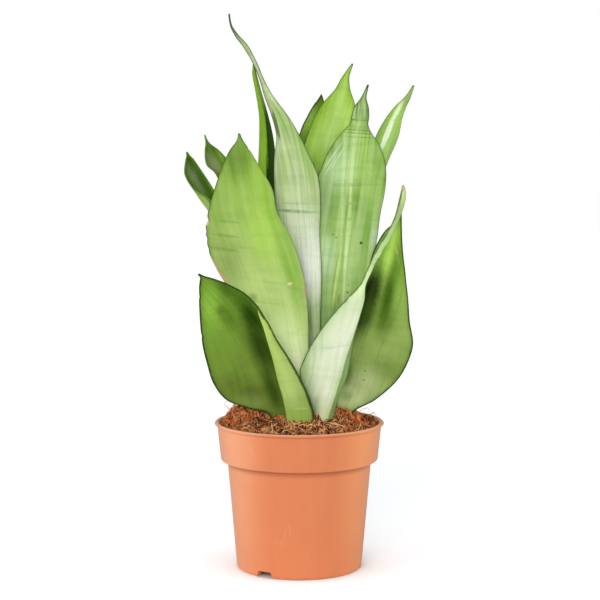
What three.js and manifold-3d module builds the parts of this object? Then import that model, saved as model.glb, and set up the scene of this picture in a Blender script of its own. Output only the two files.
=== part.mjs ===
// Potted moonshine snake plant: a clump of thirteen broad silvery-green leaves in coir soil,
// in a terracotta-coloured plastic nursery pot. Millimetres, +Z up, front toward -Y, +X right.
// The origin is the middle of the pot's underside, on the surface that the pot stands on.
import * as THREE from 'three';
import { mergeVertices } from 'three/addons/utils/BufferGeometryUtils.js';
import Module from 'manifold-3d';

const wasm = await Module();
wasm.setup();

// Pot: driving dimensions
const POT_HEIGHT = 104;
const LIP_RADIUS = 60;
const LIP_HEIGHT = 2;
const BAND_TOP_RADIUS = 58.1;
const BAND_BOTTOM_RADIUS = 55.7;
const BAND_HEIGHT = 27;
const BODY_TOP_RADIUS = 50.9;
const BODY_FOOT_RADIUS = 44.6;
const FOOT_RADIUS = 43.2;
const WALL = 1.6;
const FLOOR = 1.8;
const PLINTH_RADIUS = 26;
const CHANNEL_RISE = 3.8;
const CHANNEL_SLOPE = 1.5;
const FOOT_RING_WIDTH = 3;
const POT_SIDES = 48;

// Pot: small roundings of its corners
const FOOT_BEVEL = 0.9;
const SHELF_ROUND = 0.5;
const LIP_ROUND = 0.8;
const INNER_ROUND = 0.6;
const WALL_STEP = 1.2;
const BODY_HEEL = 2.4;

// Drainage: notches in the foot ring and holes in the raised channel of the floor
const NOTCH_COUNT = 3;
const NOTCH_FIRST_ANGLE = THREE.MathUtils.degToRad(237);
const NOTCH_BOTTOM_WIDTH = 14;
const NOTCH_TOP_WIDTH = 10;
const NOTCH_HEIGHT = 4.6;
const NOTCH_REACH = 14;
const DRAIN_COUNT = 6;
const DRAIN_RADIUS = 3.5;
const DRAIN_SIDES = 12;
const DRAIN_LENGTH = 11;

// Soil: driving dimensions
const GAP = 0.3;
const SOIL_EDGE_LEVEL = 101;
const SOIL_RINGS = 13;
const FIBRE_COUNT = 14;
const FIBRE_RADIUS = 0.6;
const FIBRE_FIELD = 40;
const FIBRE_SHORTEST = 9;
const FIBRE_LONGEST = 20;
const FIBRE_BEND = 4;
const FIBRE_STEPS = 6;

// Height of a strand's middle line over the soil, from one end to the other
const FIBRE_LIFTS = [-1.6, -0.1, 0.1, -0.1, -1.6];

// Relief of the soil as waves: radians per mm in x, in y, start, height
const SOIL_WAVES = [
  [0.55, 0.29, 0.2, 0.4],
  [-0.31, 0.62, 1.3, 0.4],
  [0.93, -0.71, 2.1, 0.3],
  [1.17, 0.86, 0.7, 0.25],
];

// Mounds of the soil: centre x, centre y, half-width in x, half-width in y, height
const MOUNDS = [
  [0, -8, 34, 26, 6.3],
  [-31, 4, 20, 11, 10],
  [32, 2, 12, 11, 7],
  [16, -12, 12, 9, 2.5],
];

// Leaf blades: driving dimensions
const MARGIN_THICKNESS = 0.8;
const BASE_THICKNESS = 4;
const BLADE_THICKNESS = 2.2;
const TIP_THICKNESS = 1;
const STEPS_ALONG = 2;
const STRIPS_ACROSS = 6;
const LEAF_FOOT = 93;

// The blade thins from its foot to this share of its length, then on to its tip
const THICK_SHARE = 0.35;

// A tightly folded midrib is at most this many times as thick as its bend radius
const FOLD_THICKNESS = 1.5;

// Slopes across a blade are taken over this share of its half-width
const SLOPE_STEP = 0.05;

// How sharply a blade is folded at the midrib: 2 is round, 1 is a crease
const ROUND_FOLD = 2;

// The clump stands this far to the right of the pot's axis
const CLUMP_OFFSET = 0.5;

// Colours
const TERRACOTTA = 0xc9693f;
const COIR = 0x6b3f26;
const SILVER_GREEN = 0xb9cba6;
const FRESH_GREEN = 0x9cc35c;
const MID_GREEN = 0x7fa648;
const DEEP_GREEN = 0x55792c;

// Each leaf is a list of rows from its foot in the soil to its tip. A row holds the left edge,
// the midrib and the right edge, as x, y, z each. Left and right are as seen from the leaf's
// outer side, so they swap on the leaves that turn their inner side to the front. slant turns a
// blade about its midrib: its edges lie that much further back for each millimetre to the right.
const LEAVES = {
  leaf_front_left_strip: {
    colour: FRESH_GREEN,
    fold: 1.4,
    rows: [
      [-3, -12, 93, -6, -20, 93, 11, -17, 93],
      [-3, -13, 107, -7.5, -22, 107, 10.5, -19, 107],
      [-3.5, -15, 123, -10.5, -26, 123, 7, -22.5, 123],
      [-7, -18, 137.5, -14.5, -29, 137, 0.7, -25.5, 137.5],
      [-10, -22, 152, -18, -33, 151.5, -7, -29.5, 152],
      [-16.5, -28, 166, -22, -36.5, 165.5, -15.8, -34, 166.5],
      [-21.5, -33.5, 176.5, -25, -39.5, 176, -21, -37.5, 177.3],
      [-26, -39, 183.5, -27.5, -41.5, 183, -25.8, -40.5, 184.8],
      [-28.8, -42.3, 190, -29, -43, 189.7, -28.6, -42.5, 190.2],
    ],
  },
  leaf_front_right_silver: {
    colour: SILVER_GREEN,
    fold: 1.3,
    rows: [
      [9, -9, 93, 17, -15, 93, 22, -7, 93],
      [10.5, -11, 108, 18, -17, 108, 23.5, -8, 108],
      [4, -13, 124, 22.8, -21, 124, 26.3, -7.5, 125],
      [-0.3, -15, 140, 27.5, -25, 139.5, 31.8, -8, 141],
      [4, -17, 153, 30.7, -27.5, 152.5, 33.6, -12, 155],
      [12.4, -20, 168.5, 35.3, -30, 167, 33.5, -16.5, 171],
      [23, -24, 183, 40, -33, 182, 37.5, -22.5, 186],
      [33, -29, 195, 43.6, -35.5, 194, 41, -27.5, 197],
      [41, -34, 204, 44.4, -37, 203.5, 43.6, -32, 204.5],
      [45, -36, 212.5, 47.8, -38, 212, 47.3, -34, 213],
      [48.7, -36, 221.3, 52.2, -37.5, 220.7, 51.5, -33.8, 222],
      [53.3, -35.5, 230.5, 57.4, -37, 229.5, 56.5, -33.5, 231],
      [59, -35, 239.2, 62.4, -36, 238.2, 62, -33, 239.7],
      [64.3, -34.5, 250, 67.4, -35.5, 249.4, 67, -32.8, 250],
      [67, -34, 260.6, 71, -34.5, 260.4, 69.5, -32.5, 260.8],
      [68.7, -33.5, 268, 71.6, -33.8, 268, 70.3, -32, 268],
      [69.5, -33, 272, 70.2, -33.2, 272, 70.3, -32.6, 272],
    ],
  },
  leaf_low_left: {
    colour: DEEP_GREEN,
    rows: [
      [-6, -5, 93, -12, -1, 93, -19, -5, 93],
      [-8, -8, 110, -14.5, -3, 110, -22, -9, 110],
      [-9.5, -12, 125, -17.5, -5, 122.5, -37, -13.5, 115.6],
      [-12, -16, 140.5, -21, -7, 136, -51.2, -17.5, 121.6],
      [-15, -20, 155, -25, -9, 148.5, -60, -21.5, 133.4],
      [-19, -24, 168, -30, -11.5, 161, -64.5, -25, 148.3],
      [-23.8, -28, 179.5, -36, -14, 173, -67.4, -28, 162.5],
      [-29.2, -32, 189, -42, -17.5, 183, -68.5, -31, 176.7],
      [-37.7, -34, 198, -50, -22, 192.5, -69, -34, 190.4],
      [-48, -36, 204, -58, -28, 200.7, -68.8, -36.5, 200.6],
      [-58, -37.5, 208, -63.3, -34, 206.5, -68.2, -38.5, 206.9],
      [-65, -39, 210, -66.4, -38.5, 209.5, -67.6, -40, 209.4],
      [-68.8, -40.6, 212, -69, -40.4, 211.8, -69.2, -41, 211.7],
    ],
  },
  leaf_low_right: {
    colour: DEEP_GREEN,
    rows: [
      [35, 0, 93, 31, 6, 93, 25, 3, 93],
      [37, -3, 110, 31, 4, 110, 24.8, 1, 110],
      [52.5, -12, 120.6, 34.5, 2, 122.5, 25.5, -1, 126],
      [66, -18, 133.6, 39, 0, 136.5, 28, -3, 141],
      [73.8, -24, 147, 43.5, -3, 151, 31, -6, 158.5],
      [78, -28, 162.5, 48.5, -8, 166.5, 35, -12, 176],
      [75.4, -30.5, 178.7, 53.5, -14, 183, 40, -18, 193],
      [74, -32.5, 194.7, 58.2, -20, 199.5, 46, -25, 211],
      [71.9, -33, 212, 62.3, -25, 215, 50.2, -28, 226],
      [70, -33, 227, 65.5, -28, 228.5, 57, -28.5, 239],
      [69.3, -32, 240, 67.5, -30, 241.5, 64.3, -29.5, 246.3],
      [69.3, -31, 252, 69, -30.6, 252.2, 68.7, -30.4, 252.4],
    ],
  },
  leaf_tall_left: {
    colour: FRESH_GREEN,
    slant: -0.4,
    rows: [
      [-7, 5, 93, -1, 2, 93, 6, 4, 93],
      [-8, 5, 108, -1.5, 1, 108, 6, 4, 108],
      [-12, 4, 123, -2.5, -1, 123, 6, 2, 123],
      [-18, 3, 141, -5, -4, 141, 6, 0, 141],
      [-28.5, 1, 162, -8.5, -7, 162.5, 6.3, -3, 162],
      [-39.5, 0, 183, -12, -9.5, 184, 5.6, -6, 183.7],
      [-54, -3, 202.5, -17, -13, 204, 3.5, -9, 203],
      [-63.3, -7, 220.5, -23, -16.5, 221.5, -1, -12, 221],
      [-66.3, -10, 237, -28.5, -19, 238, -7.3, -14, 237.5],
      [-64.3, -12.5, 253, -33, -21.5, 254, -15.7, -16.5, 253],
      [-59.7, -15, 268.5, -35.5, -23, 269.5, -18.6, -18.5, 268.5],
      [-54.6, -18, 282, -38, -23.5, 283, -26.2, -20, 282],
      [-49, -20.5, 294.5, -40, -24, 295, -34, -22, 294.5],
      [-43.2, -23, 302, -41, -24, 302, -38.8, -23.5, 302],
      [-41.9, -24, 307, -41.5, -24.2, 307, -41.1, -24, 307],
    ],
  },
  leaf_tall_centre: {
    colour: SILVER_GREEN,
    slant: -0.5,
    rows: [
      [2, 13, 93, 8, 9, 93, 13, 12, 93],
      [2, 13, 108, 8, 8.5, 108, 14, 11, 108],
      [-2, 12, 132, 6, 7, 132, 13.3, 10, 132],
      [-6, 12, 153.5, 5, 6, 154, 14, 9, 153.5],
      [-10.5, 11, 182, 3, 5, 182.5, 14.6, 8, 182],
      [-14, 10.5, 210.5, 2.5, 4, 211, 15.1, 8, 210.5],
      [-16, 10, 235.5, 1, 3.5, 236, 13.8, 8, 235.5],
      [-17.5, 9.5, 257, -1, 3, 257.5, 14.4, 8, 257],
      [-18.6, 9, 276, -3, 3, 276.5, 13, 8, 276],
      [-17.9, 8.5, 292, -6, 3, 292.5, 6.3, 7.5, 292],
      [-16.6, 8.5, 306, -9.5, 3.5, 306.5, -0.3, 7, 306],
      [-19.9, 8, 320, -14.5, 4, 320.5, -9.1, 7, 320],
      [-25, 8, 334, -22, 5, 334, -19.6, 7.5, 334],
      [-28.4, 8, 345.7, -27.2, 6, 345.7, -26, 8, 345.7],
      [-33.2, 8, 357, -32, 6, 357, -30.9, 8, 357.3],
      [-39.2, 8, 367, -37.9, 6.6, 367.6, -36.8, 8, 368.3],
      [-44.3, 8, 373.8, -43.6, 7, 374.4, -42.9, 8, 375],
      [-47.9, 8.1, 380.4, -47.5, 7.6, 380.5, -47.1, 8, 380.7],
      [-49.2, 8, 385.4, -48.9, 7.7, 385.5, -48.7, 8, 385.5],
      [-49.7, 8, 390, -49.5, 7.8, 390.2, -49.3, 8.1, 390.3],
    ],
  },
  leaf_tall_right: {
    colour: SILVER_GREEN,
    slant: 0.3,
    rows: [
      [18, 14, 93, 22, 10, 93, 28, 13, 93],
      [17, 14, 108, 22, 9.5, 108, 28, 12.5, 108],
      [12, 15.5, 132, 21.5, 9.5, 132, 30.5, 12, 132],
      [8.5, 16, 156.5, 23.5, 8.5, 157, 36, 11, 156.5],
      [5.8, 16, 185, 26, 7, 185.5, 44.5, 10, 185],
      [4.5, 16, 210, 28.5, 6, 211, 50.3, 9.5, 210],
      [4.3, 16, 231.5, 31, 5.5, 232.5, 54.7, 9.5, 231.5],
      [5.7, 15.5, 249.5, 33.5, 5.5, 250, 57, 9.5, 249.5],
      [9, 15.5, 267, 35.5, 5.5, 268, 60.4, 9.5, 267],
      [15.2, 15, 283.3, 37.3, 5.5, 284, 60.8, 9.5, 283.3],
      [21.4, 14.5, 296.6, 38.7, 6, 297, 57.1, 9.5, 296.6],
      [30.3, 13.5, 308.5, 40, 6.5, 309, 49.6, 9.5, 308.5],
      [35, 12.8, 313.5, 41, 6.7, 313.5, 47.9, 9.5, 313.5],
      [36.3, 12.5, 318.5, 42, 7, 318.5, 48.5, 9.5, 318.5],
      [38.3, 12, 325.5, 43.4, 7.5, 325.8, 48, 10, 325.5],
      [43.2, 11, 331.8, 44.7, 8.8, 332, 46.3, 10, 332.2],
      [47.6, 10, 341, 47.8, 9.7, 341.2, 48, 10, 341],
    ],
  },
  leaf_back_broad: {
    colour: FRESH_GREEN,
    slant: -0.3,
    rows: [
      [3, 24, 93, 9, 21, 93, 15, 24, 93],
      [3, 25, 108, 9, 21.5, 108, 15, 25, 108],
      [1, 27, 150, 10, 22.5, 150, 19, 27, 150],
      [-1, 29, 200, 11.5, 24, 200, 24, 29, 200],
      [0, 31, 245, 14, 25.5, 245, 28.5, 31, 245],
      [1, 32, 288.7, 17.5, 26.5, 289, 33.5, 32, 288.7],
      [4.5, 32, 303, 20, 27, 303, 37, 32, 303],
      [9.9, 32.5, 317, 24, 27.5, 317, 39.5, 32.5, 317],
      [16.2, 32.5, 328, 27.5, 28, 328, 39.1, 32.5, 328],
      [25, 32.5, 338, 30.7, 29, 338, 35.8, 32, 338],
      [29.6, 32, 346, 32.5, 29.5, 346.3, 34.9, 31.5, 346.5],
      [33.3, 31.5, 351.3, 35, 30, 351.7, 36.3, 31.2, 352],
      [37, 31, 356.3, 37.4, 30.7, 356.5, 37.7, 31, 356.6],
    ],
  },
  leaf_back_folded: {
    colour: DEEP_GREEN,
    slant: 0.25,
    rows: [
      [4, 33, 93, 0, 36, 93, -5, 33, 93],
      [4, 33, 108, 0, 36.5, 108, -6, 33, 108],
      [8, 37, 170, 0, 41, 170, -8, 37, 170],
      [11, 39.5, 230, 2, 44.5, 230, -9, 39.5, 230],
      [16, 41, 280, 6, 46.5, 280, -6, 41.5, 280],
      [19, 42, 308, 9, 47.5, 308, 0.3, 42, 307.3],
      [19, 42.5, 320, 12, 47, 320, 5.5, 42.5, 319.3],
      [17.5, 43, 327.5, 13.5, 46, 327.5, 9.3, 43, 326.5],
      [17, 43.5, 331, 14.9, 45.3, 331.3, 12.8, 43.5, 331.3],
      [15.8, 44, 335, 15.4, 44.2, 335.2, 15, 44, 335],
    ],
  },
  leaf_back_right: {
    colour: SILVER_GREEN,
    slant: 0.45,
    rows: [
      [21, 25, 93, 26, 22, 93, 31, 25, 93],
      [21, 25.5, 108, 26, 22.5, 108, 31.5, 25.5, 108],
      [21, 29, 160, 28.5, 25, 160, 35.5, 29, 160],
      [26, 33, 215, 34.5, 28, 215, 42.5, 32, 215],
      [33, 36, 255, 42, 30.5, 255, 50, 34.5, 255],
      [43, 37.5, 277, 52, 32, 277, 59, 36, 276],
      [50, 38, 291, 58.5, 33, 290, 64.3, 36.5, 289.5],
      [54.4, 38.5, 305, 63.5, 34, 304.5, 70.6, 37.5, 304],
      [61.7, 39, 318, 68.2, 35.5, 317.5, 73.4, 38.5, 317.5],
      [69.2, 39.5, 327, 72.8, 37, 326.5, 76.2, 39.5, 326],
      [76.2, 40, 333.8, 78, 38.5, 333.4, 79.4, 40, 333],
      [81.4, 40.5, 341.3, 81.7, 40.2, 341.5, 82, 40.5, 341.4],
    ],
  },
  leaf_back_channel: {
    colour: FRESH_GREEN,
    rows: [
      [-9, 19, 93, -15, 16, 93, -10, 12, 93],
      [-9, 20, 108, -15.5, 16.5, 108, -10, 12, 108],
      [-11, 23, 160, -20, 18, 160, -14, 13, 160],
      [-14, 25, 215, -26, 19.5, 215, -19, 14, 215],
      [-16.5, 26, 257, -29, 20, 257, -23, 14.5, 257],
      [-17.3, 26.5, 285.5, -28.5, 20, 285.5, -23.7, 15, 285.5],
      [-18.8, 26, 303, -28, 20, 303, -23.3, 15.5, 303],
      [-22.7, 25, 320.3, -28.3, 20, 320.3, -25, 16, 320.3],
      [-27.3, 23.5, 336.3, -30.8, 20, 336.3, -28.7, 17.2, 336.3],
      [-30.4, 22, 348, -33, 19.8, 348, -31.2, 18, 348],
      [-32.6, 20.4, 356.3, -33, 19.8, 356.5, -32.7, 19.2, 356.4],
    ],
  },
  leaf_far_left_upper: {
    colour: MID_GREEN,
    slant: 0.4,
    rows: [
      [-10, 28, 93, -15, 31, 93, -20, 28, 93],
      [-10, 28, 108, -15.5, 31.5, 108, -21, 28, 108],
      [-13, 30, 160, -20, 34, 160, -27, 30, 160],
      [-23, 32, 217, -32, 37, 215, -41, 32, 213],
      [-33, 34, 254, -42, 39.5, 250, -51, 34.5, 246],
      [-43.5, 36, 278, -52, 41, 274, -59.3, 37, 275.8],
      [-52, 37.5, 288, -60, 42, 285, -67, 38, 284.5],
      [-58.8, 38, 295.2, -64.6, 41, 294, -68.4, 38.5, 293.5],
      [-65.4, 38.5, 300.2, -66.9, 39.7, 300, -67.9, 38.7, 300],
      [-68.5, 38.8, 306.2, -68.7, 39, 306.1, -68.9, 38.7, 306],
    ],
  },
  leaf_far_left_lower: {
    colour: MID_GREEN,
    slant: 0.3,
    rows: [
      [-19, 14, 93, -24, 17, 93, -27, 12, 93],
      [-19.5, 14, 108, -25, 17, 108, -28, 11.5, 108],
      [-24, 18, 156, -32, 22, 154, -35, 14, 156],
      [-36, 22, 198, -43, 26, 193, -45, 17, 198],
      [-45, 24, 230, -53.5, 28.5, 222, -54, 20, 229],
      [-56, 25.5, 255.5, -63, 30, 247, -61.5, 21.5, 255],
      [-61.5, 26.5, 266.5, -69.6, 30.5, 258, -67.5, 23, 262.5],
      [-66.8, 27, 275, -74.5, 31, 268.5, -76.5, 25, 268],
      [-71.8, 27.5, 282.5, -78, 31, 278, -82.3, 27, 277.5],
      [-76, 28, 288.5, -79.8, 30.5, 286.3, -82, 28, 286],
      [-79, 28.3, 291.3, -80.2, 29.3, 291, -81, 28.4, 290.8],
      [-80.8, 28.5, 294, -81, 28.8, 293.8, -81.2, 28.4, 293.7],
    ],
  },
};

// Closed meshes as solids for cuts and joins, and back
const MERGE_DISTANCE = 1e-4;

function toSolid(geometry) {
  const bare = geometry.index ? geometry.toNonIndexed() : geometry.clone();
  bare.deleteAttribute('normal');
  bare.deleteAttribute('uv');
  const merged = mergeVertices(bare, MERGE_DISTANCE);
  return new wasm.Manifold(new wasm.Mesh({
    numProp: 3,
    vertProperties: new Float32Array(merged.attributes.position.array),
    triVerts: new Uint32Array(merged.index.array),
  }));
}

function toGeometry(solid) {
  const mesh = solid.getMesh();
  const geometry = new THREE.BufferGeometry();
  const position = new THREE.BufferAttribute(new Float32Array(mesh.vertProperties), 3);
  geometry.setAttribute('position', position);
  geometry.setIndex(new THREE.BufferAttribute(new Uint32Array(mesh.triVerts), 1));
  geometry.computeVertexNormals();
  return geometry;
}

function addMesh(group, name, geometry, colour, roughness) {
  const material = new THREE.MeshStandardMaterial({ color: colour, roughness, metalness: 0 });
  const mesh = new THREE.Mesh(geometry, material);
  mesh.name = name;
  group.add(mesh);
}

// Seeded draw in 0..1, the same at every run
const DRAW_STEP = 127.1;
const DRAW_SALT_STEP = 311.7;
const DRAW_STRETCH = 43758.5453;

function draw(index, salt) {
  const wave = Math.sin(index * DRAW_STEP + salt * DRAW_SALT_STEP) * DRAW_STRETCH;
  return wave - Math.floor(wave);
}

// Pot: heights and radii that its outside, its inside and the soil share
const BAND_BOTTOM = POT_HEIGHT - BAND_HEIGHT;
const LIP_BOTTOM = POT_HEIGHT - LIP_HEIGHT;
const SHELF_LEVEL = BAND_BOTTOM + WALL;
const FLOOR_LEVEL = CHANNEL_RISE + FLOOR;
const CHANNEL_INNER_RADIUS = PLINTH_RADIUS + CHANNEL_SLOPE;
const CHANNEL_OUTER_RADIUS = FOOT_RADIUS - FOOT_RING_WIDTH;

function outerProfile() {
  return [
    [0, 0],
    [PLINTH_RADIUS, 0],
    [CHANNEL_INNER_RADIUS, CHANNEL_RISE],
    [CHANNEL_OUTER_RADIUS - INNER_ROUND, CHANNEL_RISE],
    [CHANNEL_OUTER_RADIUS, 0],
    [FOOT_RADIUS, 0],
    [FOOT_RADIUS + FOOT_BEVEL, FOOT_BEVEL],
    [BODY_FOOT_RADIUS, BODY_HEEL],
    [BODY_TOP_RADIUS, BAND_BOTTOM - WALL_STEP],
    [BODY_TOP_RADIUS + SHELF_ROUND, BAND_BOTTOM - SHELF_ROUND],
    [BODY_TOP_RADIUS + WALL_STEP, BAND_BOTTOM],
    [BAND_BOTTOM_RADIUS - WALL_STEP, BAND_BOTTOM],
    [BAND_BOTTOM_RADIUS - SHELF_ROUND / 2, BAND_BOTTOM + SHELF_ROUND],
    [BAND_BOTTOM_RADIUS, BAND_BOTTOM + WALL_STEP],
    [BAND_TOP_RADIUS, LIP_BOTTOM - SHELF_ROUND],
    [LIP_RADIUS - LIP_ROUND, LIP_BOTTOM],
    [LIP_RADIUS, LIP_BOTTOM + LIP_ROUND],
    [LIP_RADIUS, POT_HEIGHT - LIP_ROUND],
    [LIP_RADIUS - LIP_ROUND, POT_HEIGHT],
  ];
}

// From the rim down to the middle of the floor. The soil keeps a gap to this line.
function innerProfile(gap) {
  return [
    [BAND_TOP_RADIUS - WALL - gap, POT_HEIGHT - LIP_ROUND],
    [BAND_BOTTOM_RADIUS - WALL - gap, SHELF_LEVEL + INNER_ROUND],
    [BAND_BOTTOM_RADIUS - WALL - gap - INNER_ROUND, SHELF_LEVEL + gap],
    [BODY_TOP_RADIUS - WALL + INNER_ROUND, SHELF_LEVEL + gap],
    [BODY_TOP_RADIUS - WALL - gap, SHELF_LEVEL - INNER_ROUND],
    [BODY_FOOT_RADIUS - WALL - gap, FLOOR_LEVEL + INNER_ROUND + gap],
    [BODY_FOOT_RADIUS - WALL - gap - INNER_ROUND, FLOOR_LEVEL + gap],
    [CHANNEL_INNER_RADIUS + INNER_ROUND, FLOOR_LEVEL + gap],
    [PLINTH_RADIUS - INNER_ROUND, FLOOR + gap],
    [0, FLOOR + gap],
  ];
}

function notchGeometry() {
  const shape = new THREE.Shape([
    new THREE.Vector2(-NOTCH_BOTTOM_WIDTH / 2, -NOTCH_HEIGHT),
    new THREE.Vector2(NOTCH_BOTTOM_WIDTH / 2, -NOTCH_HEIGHT),
    new THREE.Vector2(NOTCH_BOTTOM_WIDTH / 2, 0),
    new THREE.Vector2(NOTCH_TOP_WIDTH / 2, NOTCH_HEIGHT),
    new THREE.Vector2(-NOTCH_TOP_WIDTH / 2, NOTCH_HEIGHT),
    new THREE.Vector2(-NOTCH_BOTTOM_WIDTH / 2, 0),
  ]);
  const geometry = new THREE.ExtrudeGeometry(shape, { depth: NOTCH_REACH, bevelEnabled: false });
  geometry.rotateX(Math.PI / 2);
  geometry.rotateZ(Math.PI / 2);
  geometry.translate((CHANNEL_INNER_RADIUS + CHANNEL_OUTER_RADIUS) / 2, 0, 0);
  return geometry;
}

function buildPot() {
  const rim = [BAND_TOP_RADIUS - WALL + LIP_ROUND, POT_HEIGHT];
  const profile = [...outerProfile(), rim, ...innerProfile(0)];
  const points = profile.map(([radius, z]) => new THREE.Vector2(radius, z));
  const lathe = new THREE.LatheGeometry(points, POT_SIDES);
  lathe.rotateX(Math.PI / 2);
  let pot = toSolid(lathe);
  for (let i = 0; i < NOTCH_COUNT; i += 1) {
    const notch = notchGeometry();
    notch.rotateZ(NOTCH_FIRST_ANGLE + (i * 2 * Math.PI) / NOTCH_COUNT);
    pot = pot.subtract(toSolid(notch));
  }
  const channelMiddle = (CHANNEL_INNER_RADIUS + CHANNEL_OUTER_RADIUS) / 2;
  for (let i = 0; i < DRAIN_COUNT; i += 1) {
    const drain = new THREE.CylinderGeometry(DRAIN_RADIUS, DRAIN_RADIUS, DRAIN_LENGTH, DRAIN_SIDES);
    drain.rotateX(Math.PI / 2);
    drain.translate(channelMiddle, 0, CHANNEL_RISE);
    drain.rotateZ(((i + 0.5) * 2 * Math.PI) / DRAIN_COUNT);
    pot = pot.subtract(toSolid(drain));
  }
  return toGeometry(pot);
}

// Leaf blade between three rails, as a closed solid. grow swells it for the hole in the soil.
function leafGeometry({ rows, fold = ROUND_FOLD, slant = 0 }, grow) {
  const rail = (start) => {
    const points = rows.map((row) => {
      const [x, y, z] = row.slice(start, start + 3);
      const midribX = row[3];
      return new THREE.Vector3(x + CLUMP_OFFSET, y + slant * (x - midribX), z);
    });
    return new THREE.CatmullRomCurve3(points, false, 'catmullrom');
  };
  const rails = [rail(0), rail(3), rail(6)];
  const count = (rows.length - 1) * STEPS_ALONG;
  const sections = [];
  for (let i = 0; i <= count; i += 1) {
    sections.push(rails.map((curve) => curve.getPoint(i / count)));
  }
  if (grow > 0) {
    sections[0].forEach((point) => point.setZ(LEAF_FOOT - grow));
  }
  const surface = (i, u) => {
    const [left, middle, right] = sections[i];
    const folded = Math.min(i / (count * THICK_SHARE), 1);
    const power = THREE.MathUtils.lerp(ROUND_FOLD, fold, folded);
    const sag = left.clone().lerp(right, 0.5).sub(middle);
    const point = middle.clone().addScaledVector(sag, Math.abs(u) ** power);
    return point.addScaledVector(right.clone().sub(left), u / 2);
  };
  const positions = [];
  const sides = STRIPS_ACROSS + 1;
  for (let i = 0; i <= count; i += 1) {
    const [left, middle, right] = sections[i];
    const half = right.clone().sub(left).multiplyScalar(0.5);
    const sag = left.clone().lerp(right, 0.5).sub(middle);
    const depth = Math.max(sag.length(), GAP);
    const bendRadius = half.clone().cross(sag).lengthSq() / (2 * depth ** 3);
    const share = i / count;
    const rib = share < THICK_SHARE
      ? THREE.MathUtils.mapLinear(share, 0, THICK_SHARE, BASE_THICKNESS, BLADE_THICKNESS)
      : THREE.MathUtils.mapLinear(share, THICK_SHARE, 1, BLADE_THICKNESS, TIP_THICKNESS);
    const ribThickness = Math.max(MARGIN_THICKNESS, Math.min(rib, FOLD_THICKNESS * bendRadius));
    for (let j = 0; j < sides; j += 1) {
      const u = (2 * j) / STRIPS_ACROSS - 1;
      const before = surface(Math.max(i - 1, 0), u);
      const after = surface(Math.min(i + 1, count), u);
      const along = after.sub(before);
      const across = surface(i, u + SLOPE_STEP).sub(surface(i, u - SLOPE_STEP));
      const inward = along.cross(across).normalize();
      const thickness = THREE.MathUtils.lerp(ribThickness, MARGIN_THICKNESS, u * u) / 2 + grow;
      const point = surface(i, u * (1 + grow / half.length()));
      const outer = point.clone().addScaledVector(inward, -thickness);
      const inner = point.clone().addScaledVector(inward, thickness);
      if (i === 0) {
        outer.setZ(point.z);
        inner.setZ(point.z);
      }
      positions.push(outer.x, outer.y, outer.z, inner.x, inner.y, inner.z);
    }
  }
  const outerAt = (i, j) => 2 * (i * sides + j);
  const innerAt = (i, j) => outerAt(i, j) + 1;
  const index = [];
  for (let i = 0; i < count; i += 1) {
    for (let j = 0; j < STRIPS_ACROSS; j += 1) {
      index.push(outerAt(i, j), outerAt(i, j + 1), outerAt(i + 1, j + 1));
      index.push(outerAt(i, j), outerAt(i + 1, j + 1), outerAt(i + 1, j));
      index.push(innerAt(i, j), innerAt(i + 1, j + 1), innerAt(i, j + 1));
      index.push(innerAt(i, j), innerAt(i + 1, j), innerAt(i + 1, j + 1));
    }
    const last = STRIPS_ACROSS;
    index.push(outerAt(i, 0), outerAt(i + 1, 0), innerAt(i + 1, 0));
    index.push(outerAt(i, 0), innerAt(i + 1, 0), innerAt(i, 0));
    index.push(outerAt(i, last), innerAt(i + 1, last), outerAt(i + 1, last));
    index.push(outerAt(i, last), innerAt(i, last), innerAt(i + 1, last));
  }
  for (let j = 0; j < STRIPS_ACROSS; j += 1) {
    index.push(outerAt(0, j), innerAt(0, j), innerAt(0, j + 1));
    index.push(outerAt(0, j), innerAt(0, j + 1), outerAt(0, j + 1));
    index.push(outerAt(count, j), innerAt(count, j + 1), innerAt(count, j));
    index.push(outerAt(count, j), outerAt(count, j + 1), innerAt(count, j + 1));
  }
  const geometry = new THREE.BufferGeometry();
  geometry.setAttribute('position', new THREE.Float32BufferAttribute(positions, 3));
  geometry.setIndex(index);
  geometry.computeVertexNormals();
  return geometry;
}

// Soil
function soilHeight(x, y) {
  let z = SOIL_EDGE_LEVEL;
  for (const [cx, cy, rx, ry, height] of MOUNDS) {
    const distance = ((x - cx) / rx) ** 2 + ((y - cy) / ry) ** 2;
    z += height * Math.exp(-(distance ** 2));
  }
  for (const [alongX, alongY, start, height] of SOIL_WAVES) {
    z += height * Math.sin(alongX * x + alongY * y + start);
  }
  return z;
}

// Rings of the soil's top from its middle outward, then of its side down to the floor
function soilRings() {
  const inner = innerProfile(GAP);
  const [rim, shelf] = inner;
  const share = (SOIL_EDGE_LEVEL - shelf[1]) / (rim[1] - shelf[1]);
  const edge = THREE.MathUtils.lerp(shelf[0], rim[0], share);
  const rings = [];
  for (let k = 1; k <= SOIL_RINGS; k += 1) {
    rings.push({ radius: (edge * k) / SOIL_RINGS, top: true });
  }
  inner.slice(1, -1).forEach(([radius, z]) => rings.push({ radius, z }));
  return rings;
}

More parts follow.
